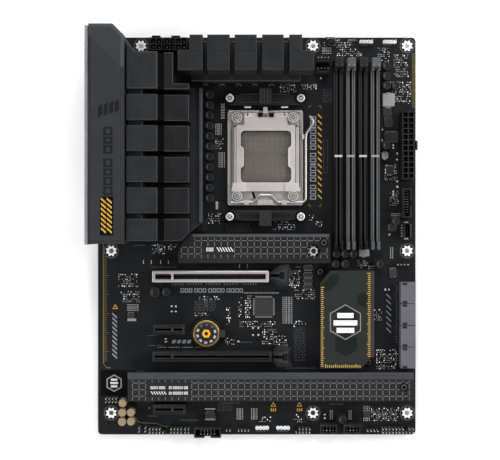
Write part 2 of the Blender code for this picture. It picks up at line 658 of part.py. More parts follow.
def build_pcie_slot(name, x, y, height, key_x, end=1.8):
    """An edge-card slot with its groove split by the key at key_x."""
    slot = piece(name, box(x, y, (GAP, height)), "black_plastic")
    middle = (y[0] + y[1]) / 2
    groove = (middle - 0.9, middle + 0.9)
    halves = [((x[0] + end, key_x - 0.9), groove, (3.0, height + 1)), ((key_x + 0.9, x[1] - end), groove, (3.0, height + 1))]
    cut(slot, boxes(halves), "groove")


def build_expansion_slots():
    build_pcie_slot("pcie_x16_slot_upper", (-78.4, 8.4), (-34.2, -27.0), PCIE_HEIGHT - 0.6, -65.4)
    armour = piece("pcie_x16_armour", box((-79.1, 9.1), (-34.9, -26.3), (0.4, PCIE_HEIGHT + 0.2)), "steel")
    cut(armour, box((-78.7, 8.7), (-34.5, -26.7), (-1, PCIE_HEIGHT - 0.3)), "channel")
    cut(armour, box((-77.0, 7.0), (-32.3, -28.9), (PCIE_HEIGHT - 1, PCIE_HEIGHT + 1)), "slit")
    build_pcie_latch("pcie_x16_latch_upper", 9.4, (-38.2, -21.4), "slate")
    build_pcie_slot("pcie_x16_slot_lower", (-78.9, 11.2), (-94.9, -87.2), PCIE_HEIGHT, -65.4)
    build_pcie_latch("pcie_x16_latch_lower", 11.5, (-99.3, -83.6), "grey_plastic")
    build_pcie_slot("pcie_x1_slot_upper", (-78.4, -54.6), (-74.2, -67.0), PCIE_HEIGHT, -65.4)
    build_pcie_slot("pcie_x1_slot_lower", (-78.4, -54.0), (-134.6, -127.4), PCIE_HEIGHT, -65.4)


def build_power_connector(name, centre, columns, rows, latch):
    """A power socket with a square cell for each contact, and a ramp for the plug's latch on one side."""
    half_x = columns * POWER_PITCH / 2 + 0.5
    half_y = rows * POWER_PITCH / 2 + 0.5
    cx, cy = centre
    body = piece(name, box((cx - half_x, cx + half_x), (cy - half_y, cy + half_y), (GAP, 12.8)), "black_plastic")
    if latch == "+X":
        ramp = box((cx + half_x - 0.5, cx + half_x + 1.5), (cy - 4.2, cy + 4.2), (6.0, 12.4))
    else:
        ramp = box((cx - 3.4, cx + 3.4), (cy + half_y - 0.5, cy + half_y + 1.3), (6.0, 12.4))
    join(body, ramp, "ramp")
    half_cell = 1.65
    cells = bmesh.new()
    for i in range(columns):
        for j in range(rows):
            x = cx + (i - (columns - 1) / 2) * POWER_PITCH
            y = cy + (j - (rows - 1) / 2) * POWER_PITCH
            add_box(cells, (x - half_cell, x + half_cell), (y - half_cell, y + half_cell), (3.0, 14.0))
    cut(body, cells, "cells")


def build_edge_connectors():
    build_power_connector("atx_power_24pin", (113.9, 68.5), 2, 12, "+X")
    build_power_connector("cpu_power_8pin", (-61.3, 144.6), 4, 2, "+Y")
    build_power_connector("cpu_power_4pin", (-76.0, 144.6), 2, 2, "+Y")
    for number in range(1, 5):
        top = SATA_TOP_Y - (number - 1) * SATA_PITCH
        y = (top - SATA_PITCH + 0.4, top - 0.1)
        port = piece(f"sata_port_{number}", box((109.1, 120.4), y, (GAP, 8.6)), "grey_plastic")
        slot = [((113.0, 121.5), (y[0] + 2.4, y[1] - 2.4), (3.6, 5.4))]
        cut(port, boxes(slot), "slot")
        cut(port, boxes([((113.0, 121.5), (y[1] - 4.0, y[1] - 2.4), (5.0, 6.9))]), "key")
    usb3 = piece("front_usb3_header", box((110.3, 117.2), (14.1, 36.1), (GAP, 9.0)), "black_plastic")
    cut(usb3, box((111.1, 116.4), (15.2, 35.0), (2.4, 10.0)), "socket")
    usbc = piece("front_usbc_header", box((112.4, 116.9), (-1.2, 9.6), (GAP, 7.0)), "steel")
    cut(usbc, box((113.2, 116.1), (-0.5, 8.9), (1.6, 8.0)), "socket")


def build_small_parts():
    cell = (-38.5, -74.4)
    shade_round(turned("battery_cell", [(0, 4.9), (9.3, 4.9), (10.0, 4.3), (10.0, 1.9), (9.3, 1.7), (0, 1.7)], cell,
                       "cell", 24))
    holder = piece("battery_holder", cylinders([cell], (GAP, 3.0), 11.6, 24), "black_plastic")
    join(holder, box((cell[0] + 10.6, cell[0] + 14.4), (cell[1] - 2.6, cell[1] + 2.6), (GAP, 5.4)), "clip")
    cut(holder, cylinders([cell], (1.4, 8.0), 10.35, 24), "seat")
    chip = piece("super_io_chip", box((-1.6, 12.4), (-61.4, -47.4), (GAP, 1.8)), "chip")
    bevel(chip, 0.25)


def main():
    build_board()
    build_backplate()
    build_cooler_bracket("cooler_bracket_upper", 1)
    build_cooler_bracket("cooler_bracket_lower", -1)
    build_cooler_screws()
    build_socket_housing()
    build_socket_frame()
    build_load_plate()
    build_hinge_wire()
    build_lever()
    build_left_heatsink()
    build_top_heatsink()
    build_m2_parts()
    build_chipset()
    build_io_cover()
    build_rear_ports()
    build_dimm_slots()
    build_expansion_slots()
    build_edge_connectors()
    build_small_parts()


main()
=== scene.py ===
import math
import random
from types import SimpleNamespace

import bmesh
import bpy
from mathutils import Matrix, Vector


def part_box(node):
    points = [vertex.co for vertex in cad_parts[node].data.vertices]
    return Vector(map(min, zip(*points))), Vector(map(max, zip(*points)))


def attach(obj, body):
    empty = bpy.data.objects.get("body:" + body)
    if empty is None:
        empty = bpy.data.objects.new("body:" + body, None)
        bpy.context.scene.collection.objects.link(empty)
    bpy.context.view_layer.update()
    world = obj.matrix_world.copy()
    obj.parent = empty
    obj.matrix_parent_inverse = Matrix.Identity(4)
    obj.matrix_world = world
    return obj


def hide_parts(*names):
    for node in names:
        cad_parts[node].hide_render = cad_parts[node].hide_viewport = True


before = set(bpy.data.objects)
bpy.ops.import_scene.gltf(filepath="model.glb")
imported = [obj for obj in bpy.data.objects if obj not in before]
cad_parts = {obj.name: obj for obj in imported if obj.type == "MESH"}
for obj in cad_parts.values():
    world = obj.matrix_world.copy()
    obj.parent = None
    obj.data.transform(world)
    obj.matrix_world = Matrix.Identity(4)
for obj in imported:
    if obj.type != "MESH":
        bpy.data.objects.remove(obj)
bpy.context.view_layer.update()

MM = 0.001
BOARD_LOW, BOARD_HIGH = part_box("pcb")
MIDDLE_X = (BOARD_LOW.x + BOARD_HIGH.x) / 2 / MM
MIDDLE_Y = (BOARD_LOW.y + BOARD_HIGH.y) / 2 / MM
FACE = BOARD_HIGH.z / MM
THICKNESS = (BOARD_HIGH.z - BOARD_LOW.z) / MM
HALF_WIDTH = (BOARD_HIGH.x - BOARD_LOW.x) / 2 / MM

# Mounting holes of the board pattern, from the board's middle.
HOLES = [(-88.9, 146.05), (43.18, 146.05), (115.57, 146.05),
         (-111.76, -11.43), (43.18, -11.43), (115.57, -11.43),
         (-111.76, -135.89), (43.18, -135.89), (115.57, -135.89)]
HOLE_RADIUS = 1.98
PIN_PITCH, PIN_HALF = 2.54, 0.32
POWER_PITCH = 4.2
HEADER_ROW = -149.4
SOCKET_Y = 59.75
# How far a printed or engraved mark sinks into a face and stands out of it.
SINK, INK = 0.02, 0.05
PORTS = ["usb_port_stack_1", "usb_port_stack_2", "usbc_port_stack", "video_port_stack", "lan_port_stack"]


def at(x, y, h):
    """A point from board millimetres: x and y from the board's middle, h above its face."""
    return Vector(((MIDDLE_X + x) * MM, (MIDDLE_Y + y) * MM, (FACE + h) * MM))


def span(name):
    """A CAD node's box at rest in board millimetres."""
    low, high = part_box(name)
    s = SimpleNamespace(x0=low.x / MM - MIDDLE_X, x1=high.x / MM - MIDDLE_X,
                        y0=low.y / MM - MIDDLE_Y, y1=high.y / MM - MIDDLE_Y,
                        h0=low.z / MM - FACE, h1=high.z / MM - FACE)
    s.x, s.y = (s.x0 + s.x1) / 2, (s.y0 + s.y1) / 2
    return s


# ---------------------------------------------------------------- materials

FINISH = {}


def node(tree, kind, **settings):
    made = tree.nodes.new("ShaderNode" + kind)
    for key, value in settings.items():
        if key in made.inputs.keys():
            made.inputs[key].default_value = value
        else:
            setattr(made, key, value)
    return made


def finish(name, colour, roughness, metallic=0.0, spread=0.15, grain=2500.0, broad=70.0, stretch=(1, 1, 1),
           relief=0.2, depth=0.00004, scatter=0.08, edge_highlight=0.0, specular=0.5, pattern=None):
    """A material with colour drift, fine grain, uneven gloss, bump and lighter convex edges, a painted
    highlight.
    """
    material = bpy.data.materials.new(name)
    material.use_nodes = True
    tree = material.node_tree
    link = tree.links.new
    shader = tree.nodes["Principled BSDF"]
    shader.inputs["Metallic"].default_value = metallic
    shader.inputs["Specular IOR Level"].default_value = specular
    place = node(tree, "TexCoord")
    mapping = node(tree, "Mapping", Scale=stretch)
    link(place.outputs["Object"], mapping.inputs["Vector"])
    fine = node(tree, "TexNoise", Scale=grain, Detail=5.0, Roughness=0.6)
    link(mapping.outputs["Vector"], fine.inputs["Vector"])
    drift = node(tree, "TexNoise", Scale=broad, Detail=3.0, Roughness=0.5)
    link(place.outputs["Object"], drift.inputs["Vector"])
    blend = node(tree, "Math", operation="MULTIPLY_ADD")
    link(fine.outputs["Fac"], blend.inputs[0])
    blend.inputs[1].default_value = 0.6
    half = node(tree, "Math", operation="MULTIPLY")
    half.inputs[1].default_value = 0.4
    link(drift.outputs["Fac"], half.inputs[0])
    link(half.outputs["Value"], blend.inputs[2])
    ramp = node(tree, "ValToRGB")
    ramp.color_ramp.elements[0].position = 0.3
    ramp.color_ramp.elements[1].position = 0.7
    ramp.color_ramp.elements[0].color = [c * (1 - spread) for c in colour] + [1]
    ramp.color_ramp.elements[1].color = [min(1.0, c * (1 + spread)) for c in colour] + [1]
    link(blend.outputs["Value"], ramp.inputs["Fac"])
    tint = ramp.outputs["Color"]
    if pattern:
        tint = pattern(tree, place, tint, colour)
    # Convex edges, found by pointiness and broken up by the grain, are lightened: painted highlight.
    if edge_highlight:
        geometry = node(tree, "NewGeometry")
        edge = node(tree, "MapRange", **{"From Min": 0.52, "From Max": 0.62, "To Max": edge_highlight})
        link(geometry.outputs["Pointiness"], edge.inputs["Value"])
        broken = node(tree, "Math", operation="MULTIPLY")
        link(edge.outputs["Result"], broken.inputs[0])
        link(fine.outputs["Fac"], broken.inputs[1])
        highlighted_edge = node(tree, "Mix", data_type="RGBA")
        highlighted_edge.inputs["B"].default_value = [min(1.0, c * 1.6 + 0.09) for c in colour] + [1]
        link(broken.outputs["Value"], highlighted_edge.inputs["Factor"])
        link(tint, highlighted_edge.inputs["A"])
        tint = highlighted_edge.outputs["Result"]
    link(tint, shader.inputs["Base Color"])
    gloss = node(tree, "MapRange", **{"From Min": 0.3, "From Max": 0.7,
                                      "To Min": max(0.02, roughness - scatter),
                                      "To Max": min(1.0, roughness + scatter)})
    link(blend.outputs["Value"], gloss.inputs["Value"])
    link(gloss.outputs["Result"], shader.inputs["Roughness"])
    bump = node(tree, "Bump", Strength=relief, Distance=depth)
    link(fine.outputs["Fac"], bump.inputs["Height"])
    link(bump.outputs["Normal"], shader.inputs["Normal"])
    FINISH[name] = material
    return material


def weave(tree, place, tint, colour):
    """Faint lines of copper under the solder mask."""
    black, white = (0, 0, 0, 1), (1, 1, 1, 1)
    lines = node(tree, "TexBrick", Scale=260.0, offset=0.37, Color1=black, Color2=black, Mortar=white,
                 **{"Mortar Size": 0.018, "Brick Width": 1.7, "Row Height": 0.31})
    tree.links.new(place.outputs["Object"], lines.inputs["Vector"])
    patch = node(tree, "TexNoise", Scale=38.0, Detail=1.0)
    tree.links.new(place.outputs["Object"], patch.inputs["Vector"])
    gate = node(tree, "MapRange", **{"From Min": 0.5, "From Max": 0.56, "To Max": 0.55})
    tree.links.new(patch.outputs["Fac"], gate.inputs["Value"])
    factor = node(tree, "Math", operation="MULTIPLY")
    tree.links.new(lines.outputs["Color"], factor.inputs[0])
    tree.links.new(gate.outputs["Result"], factor.inputs[1])
    mixed = node(tree, "Mix", data_type="RGBA")
    mixed.inputs["B"].default_value = [c * 1.9 + 0.004 for c in colour] + [1]
    tree.links.new(factor.outputs["Value"], mixed.inputs["Factor"])
    tree.links.new(tint, mixed.inputs["A"])
    return mixed.outputs["Result"]


BRUSH_Y = (1.0, 0.02, 1.0)
BRUSH_X = (0.02, 1.0, 1.0)
finish("solder_mask", (0.0075, 0.0085, 0.0095), 0.5, specular=0.16, relief=0.1, pattern=weave)
finish("traces", (0.011, 0.0124, 0.0138), 0.5, specular=0.18, relief=0.1)
finish("heatsink_black", (0.019, 0.0205, 0.0225), 0.5, 0.2, spread=0.3, stretch=BRUSH_Y, relief=0.35,
       edge_highlight=0.3, specular=0.16)
finish("heatsink_cross", (0.0165, 0.0175, 0.019), 0.5, 0.2, spread=0.3, stretch=BRUSH_X, relief=0.35,
       edge_highlight=0.3, specular=0.16)
# A lighter tone for the chamfers and step edges of the heatsinks' blocks: painted highlight on real bevels.
finish("heatsink_bevel_painted_highlight", (0.036, 0.038, 0.041), 0.45, 0.3, spread=0.2, stretch=BRUSH_Y, relief=0.25,
       specular=0.2)
finish("heatsink_grey", (0.052, 0.055, 0.06), 0.5, 0.3, spread=0.2, stretch=BRUSH_X, relief=0.3, edge_highlight=0.4,
       specular=0.2)
# A darker copy of heatsink_black for the right column: painted shade.
finish("heatsink_painted_shade", (0.0115, 0.012, 0.013), 0.5, 0.2, spread=0.35, stretch=BRUSH_Y, relief=0.35,
       edge_highlight=0.3, specular=0.14)
finish("cover_charcoal", (0.0265, 0.028, 0.031), 0.5, 0.1, spread=0.12, grain=3200, relief=0.4, edge_highlight=0.5,
       specular=0.2)
# Lighter and darker copies of cover_charcoal: painted light on the sloping upper facet and the bands round
# it, painted shade on the lower bands.
finish("cover_facet_painted_light", (0.03, 0.0322, 0.0362), 0.5, 0.1, spread=0.12, grain=3200, relief=0.4, edge_highlight=0.5,
       specular=0.2)
finish("cover_painted_shade", (0.0105, 0.011, 0.012), 0.5, 0.1, spread=0.12, grain=3200, relief=0.4, edge_highlight=0.5,
       specular=0.15)
finish("cover_tone", (0.0105, 0.011, 0.0125), 0.4, 0.1, relief=0.15, specular=0.2)
finish("black_plastic", (0.0068, 0.0072, 0.008), 0.5, specular=0.18, grain=3600, relief=0.35, edge_highlight=0.4)
finish("power_plastic", (0.0022, 0.0024, 0.0027), 0.55, specular=0.07, grain=3600, relief=0.35, edge_highlight=0.4)
finish("slot_black", (0.0034, 0.0038, 0.0044), 0.55, specular=0.1, grain=3600, relief=0.35, edge_highlight=0.4)
# Near black for the webs between the heatsink's columns: painted shade.
finish("heatsink_web_painted_shade", (0.0032, 0.0034, 0.0038), 0.6, 0.1, spread=0.3, stretch=BRUSH_Y, relief=0.35,
       specular=0.05)
# Dark brown for the band round the socket's window and the lines beside the plate: painted shade.
finish("gap_painted_shade", (0.03, 0.028, 0.027), 0.6, spread=0.2, relief=0.25, specular=0.1)
finish("slot_floor", (0.034, 0.034, 0.035), 0.55, spread=0.25, grain=3600, relief=0.35)
finish("lever_steel", (0.35, 0.345, 0.33), 0.38, 0.5, spread=0.08, grain=2600, relief=0.2, edge_highlight=0.4)
# Near black for black labels and print, and for painted shade in hollows, recesses and gaps.
finish("black_and_painted_shade", (0.0025, 0.0025, 0.003), 0.6, specular=0.06, grain=3600, relief=0.3)
finish("grey_plastic", (0.062, 0.066, 0.069), 0.5, specular=0.25, grain=3600, relief=0.35, edge_highlight=0.35)
finish("sata_plastic", (0.1, 0.1, 0.116), 0.55, specular=0.25, grain=3600, relief=0.35, edge_highlight=0.3)
finish("slate_plastic", (0.0088, 0.0102, 0.0122), 0.55, specular=0.18, grain=3600, relief=0.35, edge_highlight=0.4)
finish("latch_slate", (0.0095, 0.0102, 0.0115), 0.5, specular=0.16, grain=3600, relief=0.35, edge_highlight=0.5)
finish("white_plastic", (0.78, 0.78, 0.75), 0.45, spread=0.05, grain=3600, relief=0.25)
finish("socket_steel", (0.63, 0.58, 0.575), 0.42, 0.55, spread=0.06, grain=2200, stretch=(1, 0.15, 1),
       relief=0.18, scatter=0.07, edge_highlight=0.6)
finish("plated_steel", (0.5, 0.49, 0.475), 0.36, 0.6, spread=0.06, grain=2600, relief=0.15)
finish("armour_steel", (0.6, 0.56, 0.55), 0.36, 0.6, spread=0.06, grain=2200, stretch=BRUSH_X, relief=0.2,
       edge_highlight=0.5)
finish("backplate_steel", (0.055, 0.057, 0.06), 0.5, 0.5, spread=0.15, grain=2600, relief=0.3, edge_highlight=0.6)
finish("shield_steel", (0.4, 0.41, 0.42), 0.38, 0.7, spread=0.08, grain=2400, stretch=(1, 0.05, 1),
       relief=0.2)
finish("contact_bed", (0.12, 0.108, 0.098), 0.6, 0.0, spread=0.1, grain=1800, relief=0.25)
finish("contact_tip", (0.26, 0.235, 0.21), 0.45, 0.4, spread=0.15, grain=2600, relief=0.2)
finish("chip_black", (0.022, 0.022, 0.024), 0.55, specular=0.35, grain=3400, relief=0.3)
finish("cell_black", (0.012, 0.011, 0.012), 0.4, specular=0.4, relief=0.12)
finish("gold_plating", (0.83, 0.6, 0.24), 0.32, 0.85, spread=0.1, relief=0.12)
finish("pale_gold", (0.37, 0.28, 0.17), 0.38, 0.45, spread=0.08, grain=2600, relief=0.15, edge_highlight=0.4)
finish("solder", (0.66, 0.66, 0.65), 0.35, 0.8, spread=0.12, relief=0.25)
finish("print_white", (0.62, 0.62, 0.62), 0.7, spread=0.08, relief=0.2)
finish("print_bright", (0.85, 0.84, 0.84), 0.6, spread=0.04, relief=0.15)
finish("print_grey", (0.2, 0.21, 0.22), 0.7, spread=0.15, relief=0.2)
finish("print_faint", (0.06, 0.063, 0.067), 0.7, spread=0.2, relief=0.2)
finish("print_amber", (0.52, 0.3, 0.03), 0.6, spread=0.1, relief=0.2)
finish("print_olive", (0.12, 0.092, 0.025), 0.65, spread=0.2, relief=0.2)
finish("print_orange", (0.85, 0.36, 0.02), 0.55, spread=0.08, relief=0.15)
finish("resistor_tan", (0.34, 0.25, 0.15), 0.5, spread=0.15, relief=0.2)
finish("ceramic_brown", (0.09, 0.07, 0.055), 0.5, spread=0.3, relief=0.2)
finish("choke_silver", (0.27, 0.25, 0.25), 0.5, 0.35, spread=0.08, grain=2600, relief=0.3, edge_highlight=0.3)
finish("can_black", (0.014, 0.014, 0.0155), 0.42, 0.2, spread=0.15, relief=0.2, edge_highlight=0.8)
finish("frame_steel", (0.46, 0.43, 0.422), 0.42, 0.5, spread=0.06, grain=2200, stretch=(1, 0.15, 1),
       relief=0.18, edge_highlight=0.6)
finish("can_lid", (0.0105, 0.0103, 0.0105), 0.5, spread=0.2, relief=0.2, specular=0.15)
finish("bright_screw", (0.8, 0.8, 0.78), 0.35, 0.55, spread=0.05, grain=2600, relief=0.12)
# Gold contacts darkened to a near black brown: painted shade of the grooves they stand in.
finish("gold_in_painted_shade", (0.045, 0.034, 0.018), 0.5, 0.5, spread=0.15, relief=0.1, specular=0.2)
# Near black for the grey slots' groove: painted shade.
finish("groove_painted_shade", (0.008, 0.0085, 0.009), 0.6, specular=0.1, relief=0.2)
finish("latch_grey", (0.1, 0.107, 0.112), 0.5, specular=0.25, grain=3600, relief=0.35, edge_highlight=0.35)
finish("latch_dark", (0.0165, 0.0175, 0.019), 0.5, specular=0.2, grain=3600, relief=0.35, edge_highlight=0.35)
finish("bracket_black", (0.009, 0.0095, 0.0105), 0.28, specular=0.4, grain=3600, relief=0.2, edge_highlight=0.3)
finish("seam_grey", (0.1, 0.095, 0.09), 0.5, 0.3, spread=0.1, relief=0.1)
finish("key_white", (0.42, 0.42, 0.41), 0.5, spread=0.05, grain=3600, relief=0.25)
finish("key_grey", (0.26, 0.26, 0.26), 0.5, spread=0.05, grain=3600, relief=0.25)
# Diffuse near white for tinned pads, vias and the cover's hole ring: painted highlight in the place of bright
# metal.
finish("pad_silver_painted_highlight", (0.95, 0.95, 0.94), 0.5, 0.0, spread=0.03, relief=0.15)
finish("cell_gold", (0.5, 0.33, 0.12), 0.35, 0.5, spread=0.06, relief=0.1)
finish("hatch_grey", (0.4, 0.4, 0.4), 0.5, spread=0.1, relief=0.15)


# ------------------------------------------------------------------- shapes

def inset(outline, distance):
    """The outline moved inwards; its corners run anticlockwise."""
    corners = [Vector(p) for p in outline]
    moved = []
    for i, corner in enumerate(corners):
        before = (corner - corners[i - 1]).normalized()
        after = (corners[(i + 1) % len(corners)] - corner).normalized()
        left, right = Vector((-before.y, before.x)), Vector((-after.y, after.x))
        moved.append(tuple(corner + (left + right) * (distance / (1 + left.dot(right)))))
    return moved


def rectangle(x0, x1, y0, y1):
    return [(x0, y0), (x1, y0), (x1, y1), (x0, y1)]


def rounded(outline, radius, steps=4):
    """The outline with its corners turned into arcs."""
    corners = [Vector(p) for p in outline]
    result = []
    for i, corner in enumerate(corners):
        back = (corners[i - 1] - corner).normalized()
        on = (corners[(i + 1) % len(corners)] - corner).normalized()
        half = back.angle(on) / 2
        reach = radius / math.tan(half)
        centre = corner + (back + on).normalized() * (radius / math.sin(half))
        start, end = corner + back * reach - centre, corner + on * reach - centre
        sweep = start.angle_signed(end)
        for k in range(steps + 1):
            turn = -sweep * k / steps
            result.append((centre.x + start.x * math.cos(turn) - start.y * math.sin(turn),
                           centre.y + start.x * math.sin(turn) + start.y * math.cos(turn)))
    return result


class Shape:
    """Closed solids in board millimetres, gathered into one mesh."""

    def __init__(self, place=None):
        self.points, self.faces, self.inks = [], [], []
        self.place = place or (lambda x, y, h: (x, y, h))

    def add(self, points, faces, ink=0):
        first = len(self.points)
        self.points += [self.place(*p) for p in points]
        self.faces += [[first + i for i in face] for face in faces]
        self.inks += [ink] * len(faces)
        return self

    def loft(self, rings, ink=0, rim=None, lid=None):
        """A closed skin over rings of points; rim is the ink of the last step and lid that of the top."""
        n = len(rings[0])
        points = [p for ring in rings for p in ring]
        for k in range(len(rings) - 1):
            last = k == len(rings) - 2
            tone = rim if rim is not None and last else ink
            self.add(points[k * n:(k + 2) * n],
                     [[i, (i + 1) % n, n + (i + 1) % n, n + i] for i in range(n)], tone)
        self.add(rings[0], [list(range(n))[::-1]], ink)
        return self.add(rings[-1], [list(range(n))], ink if lid is None else lid)

    def slab(self, outline, h0, h1, chamfer=0.0, ink=0, rim=None, lid=None):
        rings = [[(x, y, h0) for x, y in outline]]
        if chamfer:
            rings.append([(x, y, h1 - chamfer) for x, y in outline])
            rings.append([(x, y, h1) for x, y in inset(outline, chamfer)])
        else:
            rings.append([(x, y, h1) for x, y in outline])
        return self.loft(rings, ink, rim if chamfer else None, lid=lid)

    def box(self, x0, x1, y0, y1, h0, h1, chamfer=0.0, ink=0, rim=None, lid=None):
        """An upright box. Its two sides may come in either order."""
        sides = rectangle(*sorted((x0, x1)), *sorted((y0, y1)))
        return self.slab(sides, h0, h1, chamfer, ink, rim, lid)

    def block(self, x, y, half_x, half_y, *rest, **more):
        """A box round a middle point."""
        return self.box(x - half_x, x + half_x, y - half_y, y + half_y, *rest, **more)

    def turned(self, x, y, profile, sides=24, ink=0, lid=None, rim=None):
        """A lathed solid; profile rows are radius, height and, for a lobed recess, the depth of its lobes."""
        rings = []
        for row in profile:
            lobe = row[2] if len(row) > 2 else 0
            rings.append([(x + row[0] * (1 + lobe * math.cos(6 * a)) * math.cos(a),
                           y + row[0] * (1 + lobe * math.cos(6 * a)) * math.sin(a), row[1])
                          for a in (math.tau * k / sides for k in range(sides))])
        return self.loft(rings, ink, rim, lid=lid)

    def ring(self, x, y, inner, outer, h0, h1, sides=32, ink=0):
        loops = [[(x + r * math.cos(math.tau * k / sides), y + r * math.sin(math.tau * k / sides), h)
                  for k in range(sides)]
                 for r, h in ((inner, h0), (outer, h0), (outer, h1), (inner, h1))]
        points = [p for loop in loops for p in loop]
        faces = [[a * sides + k, a * sides + (k + 1) % sides, b * sides + (k + 1) % sides, b * sides + k]
                 for a, b in ((0, 1), (1, 2), (2, 3), (3, 0)) for k in range(sides)]
        return self.add(points, faces, ink)

    def frame(self, outer, inner, h0, h1, ink=0, chamfer=0.0):
        """A flat frame between two outlines with the same number of corners."""
        n = len(outer)
        rings = [[(x, y, h0) for x, y in inner], [(x, y, h0) for x, y in outer]]
        if chamfer:
            rings += [[(x, y, h1 - chamfer) for x, y in outer],
                      [(x, y, h1) for x, y in inset(outer, chamfer)]]
        else:
            rings.append([(x, y, h1) for x, y in outer])
        rings.append([(x, y, h1) for x, y in inner])
        points = [p for ring in rings for p in ring]
        m = len(rings)
        faces = [[a * n + k, a * n + (k + 1) % n, b * n + (k + 1) % n, b * n + k]
                 for a, b in ((a, (a + 1) % m) for a in range(m)) for k in range(n)]
        return self.add(points, faces, ink)

    def tube(self, path, radius, sides=10, ink=0):
        points = [Vector(p) for p in path]
        rings, side = [], None
        for i, point in enumerate(points):
            along = (points[min(i + 1, len(points) - 1)] - points[max(i - 1, 0)]).normalized()
            side = (side or Vector((0, 0, 1) if abs(along.z) < 0.9 else (1, 0, 0)))
            side = (side - along * side.dot(along)).normalized()
            up = along.cross(side)
            rings.append([tuple(point + side * (radius * math.cos(a)) + up * (radius * math.sin(a)))
                          for a in (math.tau * k / sides for k in range(sides))])
        return self.loft(rings, ink)

    def terrace(self, us, vs, level, base=0.0, ink=0, floor=None, sunk=None):
        """A block whose top steps between grid lines: level(u, v) is a cell's height or None.

        Cells lower than sunk, or than the highest cell, take the floor ink.
        """
        us, vs = sorted(us), sorted(vs)
        cells = {}
        for i in range(len(us) - 1):
            for j in range(len(vs) - 1):
                h = level((us[i] + us[i + 1]) / 2, (vs[j] + vs[j + 1]) / 2)
                if h is not None and h > base + 1e-6:
                    cells[i, j] = round(h, 4)
        top = max(cells.values()) if sunk is None else sunk
        at_corner = {}
        for (i, j), h in cells.items():
            for a in (0, 1):
                for b in (0, 1):
                    at_corner.setdefault((i + a, j + b), {base}).add(h)
        index, points, faces, inks = {}, [], [], []

        def vertex(i, j, h):
            key = (i, j, round(h, 4))
            if key not in index:
                index[key] = len(points)
                points.append((us[i], vs[j], h))
            return index[key]

        def rising(corner, low, high):
            return [h for h in sorted(at_corner[corner]) if low - 1e-6 <= h <= high + 1e-6]

        for (i, j), h in cells.items():
            square = [(i, j), (i + 1, j), (i + 1, j + 1), (i, j + 1)]
            faces.append([vertex(a, b, h) for a, b in square])
            inks.append(floor if floor is not None and h < top - 1e-6 else ink)
            faces.append([vertex(a, b, base) for a, b in square[::-1]])
            inks.append(ink)
            for k, (di, dj) in enumerate(((0, -1), (1, 0), (0, 1), (-1, 0))):
                beside = cells.get((i + di, j + dj), base)
                if beside < h - 1e-6:
                    a, b = square[k], square[(k + 1) % 4]
                    loop = [vertex(*a, z) for z in rising(a, beside, h)[::-1]]
                    loop += [vertex(*b, z) for z in rising(b, beside, h)]
                    faces.append(loop)
                    inks.append(ink)
        self.add(points, faces)
        self.inks[-len(faces):] = inks
        return self


def solid(name, shape, finishes):
    """The shape's mesh as an object, with its faces turned outwards."""
    mesh = bpy.data.meshes.new(name)
    mesh.from_pydata([at(*p) for p in shape.points], [], shape.faces)
    for key in finishes:
        mesh.materials.append(FINISH[key])
    mesh.polygons.foreach_set("material_index", shape.inks)
    work = bmesh.new()
    work.from_mesh(mesh)
    bmesh.ops.remove_doubles(work, verts=work.verts, dist=1e-7)
    bmesh.ops.recalc_face_normals(work, faces=work.faces)
    work.to_mesh(mesh)
    work.free()
    made = bpy.data.objects.new(name, mesh)
    bpy.context.scene.collection.objects.link(made)
    return made


def piece(name, shape, finishes, body="board", stands_for=(), bevel=0.0, smooth=35, segments=2,
          cutter=None):
    made = solid(name, shape, finishes)
    if cutter:
        tool = solid(name + "_cutter", cutter, finishes)
        cut = made.modifiers.new("cut", "BOOLEAN")
        cut.object = tool
        cut.solver = "EXACT"
        cut.use_self = True
        shown = made.evaluated_get(bpy.context.evaluated_depsgraph_get())
        carved = bpy.data.meshes.new_from_object(shown)
        made.modifiers.clear()
        made.data = carved
        bpy.data.objects.remove(tool)
    mesh = made.data
    mesh.shade_smooth()
    mesh.set_sharp_from_angle(angle=math.radians(smooth))
    if bevel:
        edge = made.modifiers.new("edge", "BEVEL")
        edge.width = bevel * MM
        edge.segments = segments
        edge.limit_method = "ANGLE"
        edge.angle_limit = math.radians(35)
        edge.harden_normals = True
    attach(made, body)
    if stands_for:
        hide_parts(*stands_for)
    return made


def dress(name, *finishes):
    """New materials for a CAD node that stays visible."""
    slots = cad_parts[name].material_slots
    for i, s in enumerate(slots):
        s.material = FINISH[finishes[min(i, len(finishes) - 1)]]


# --------------------------------------------------------- covers and sinks

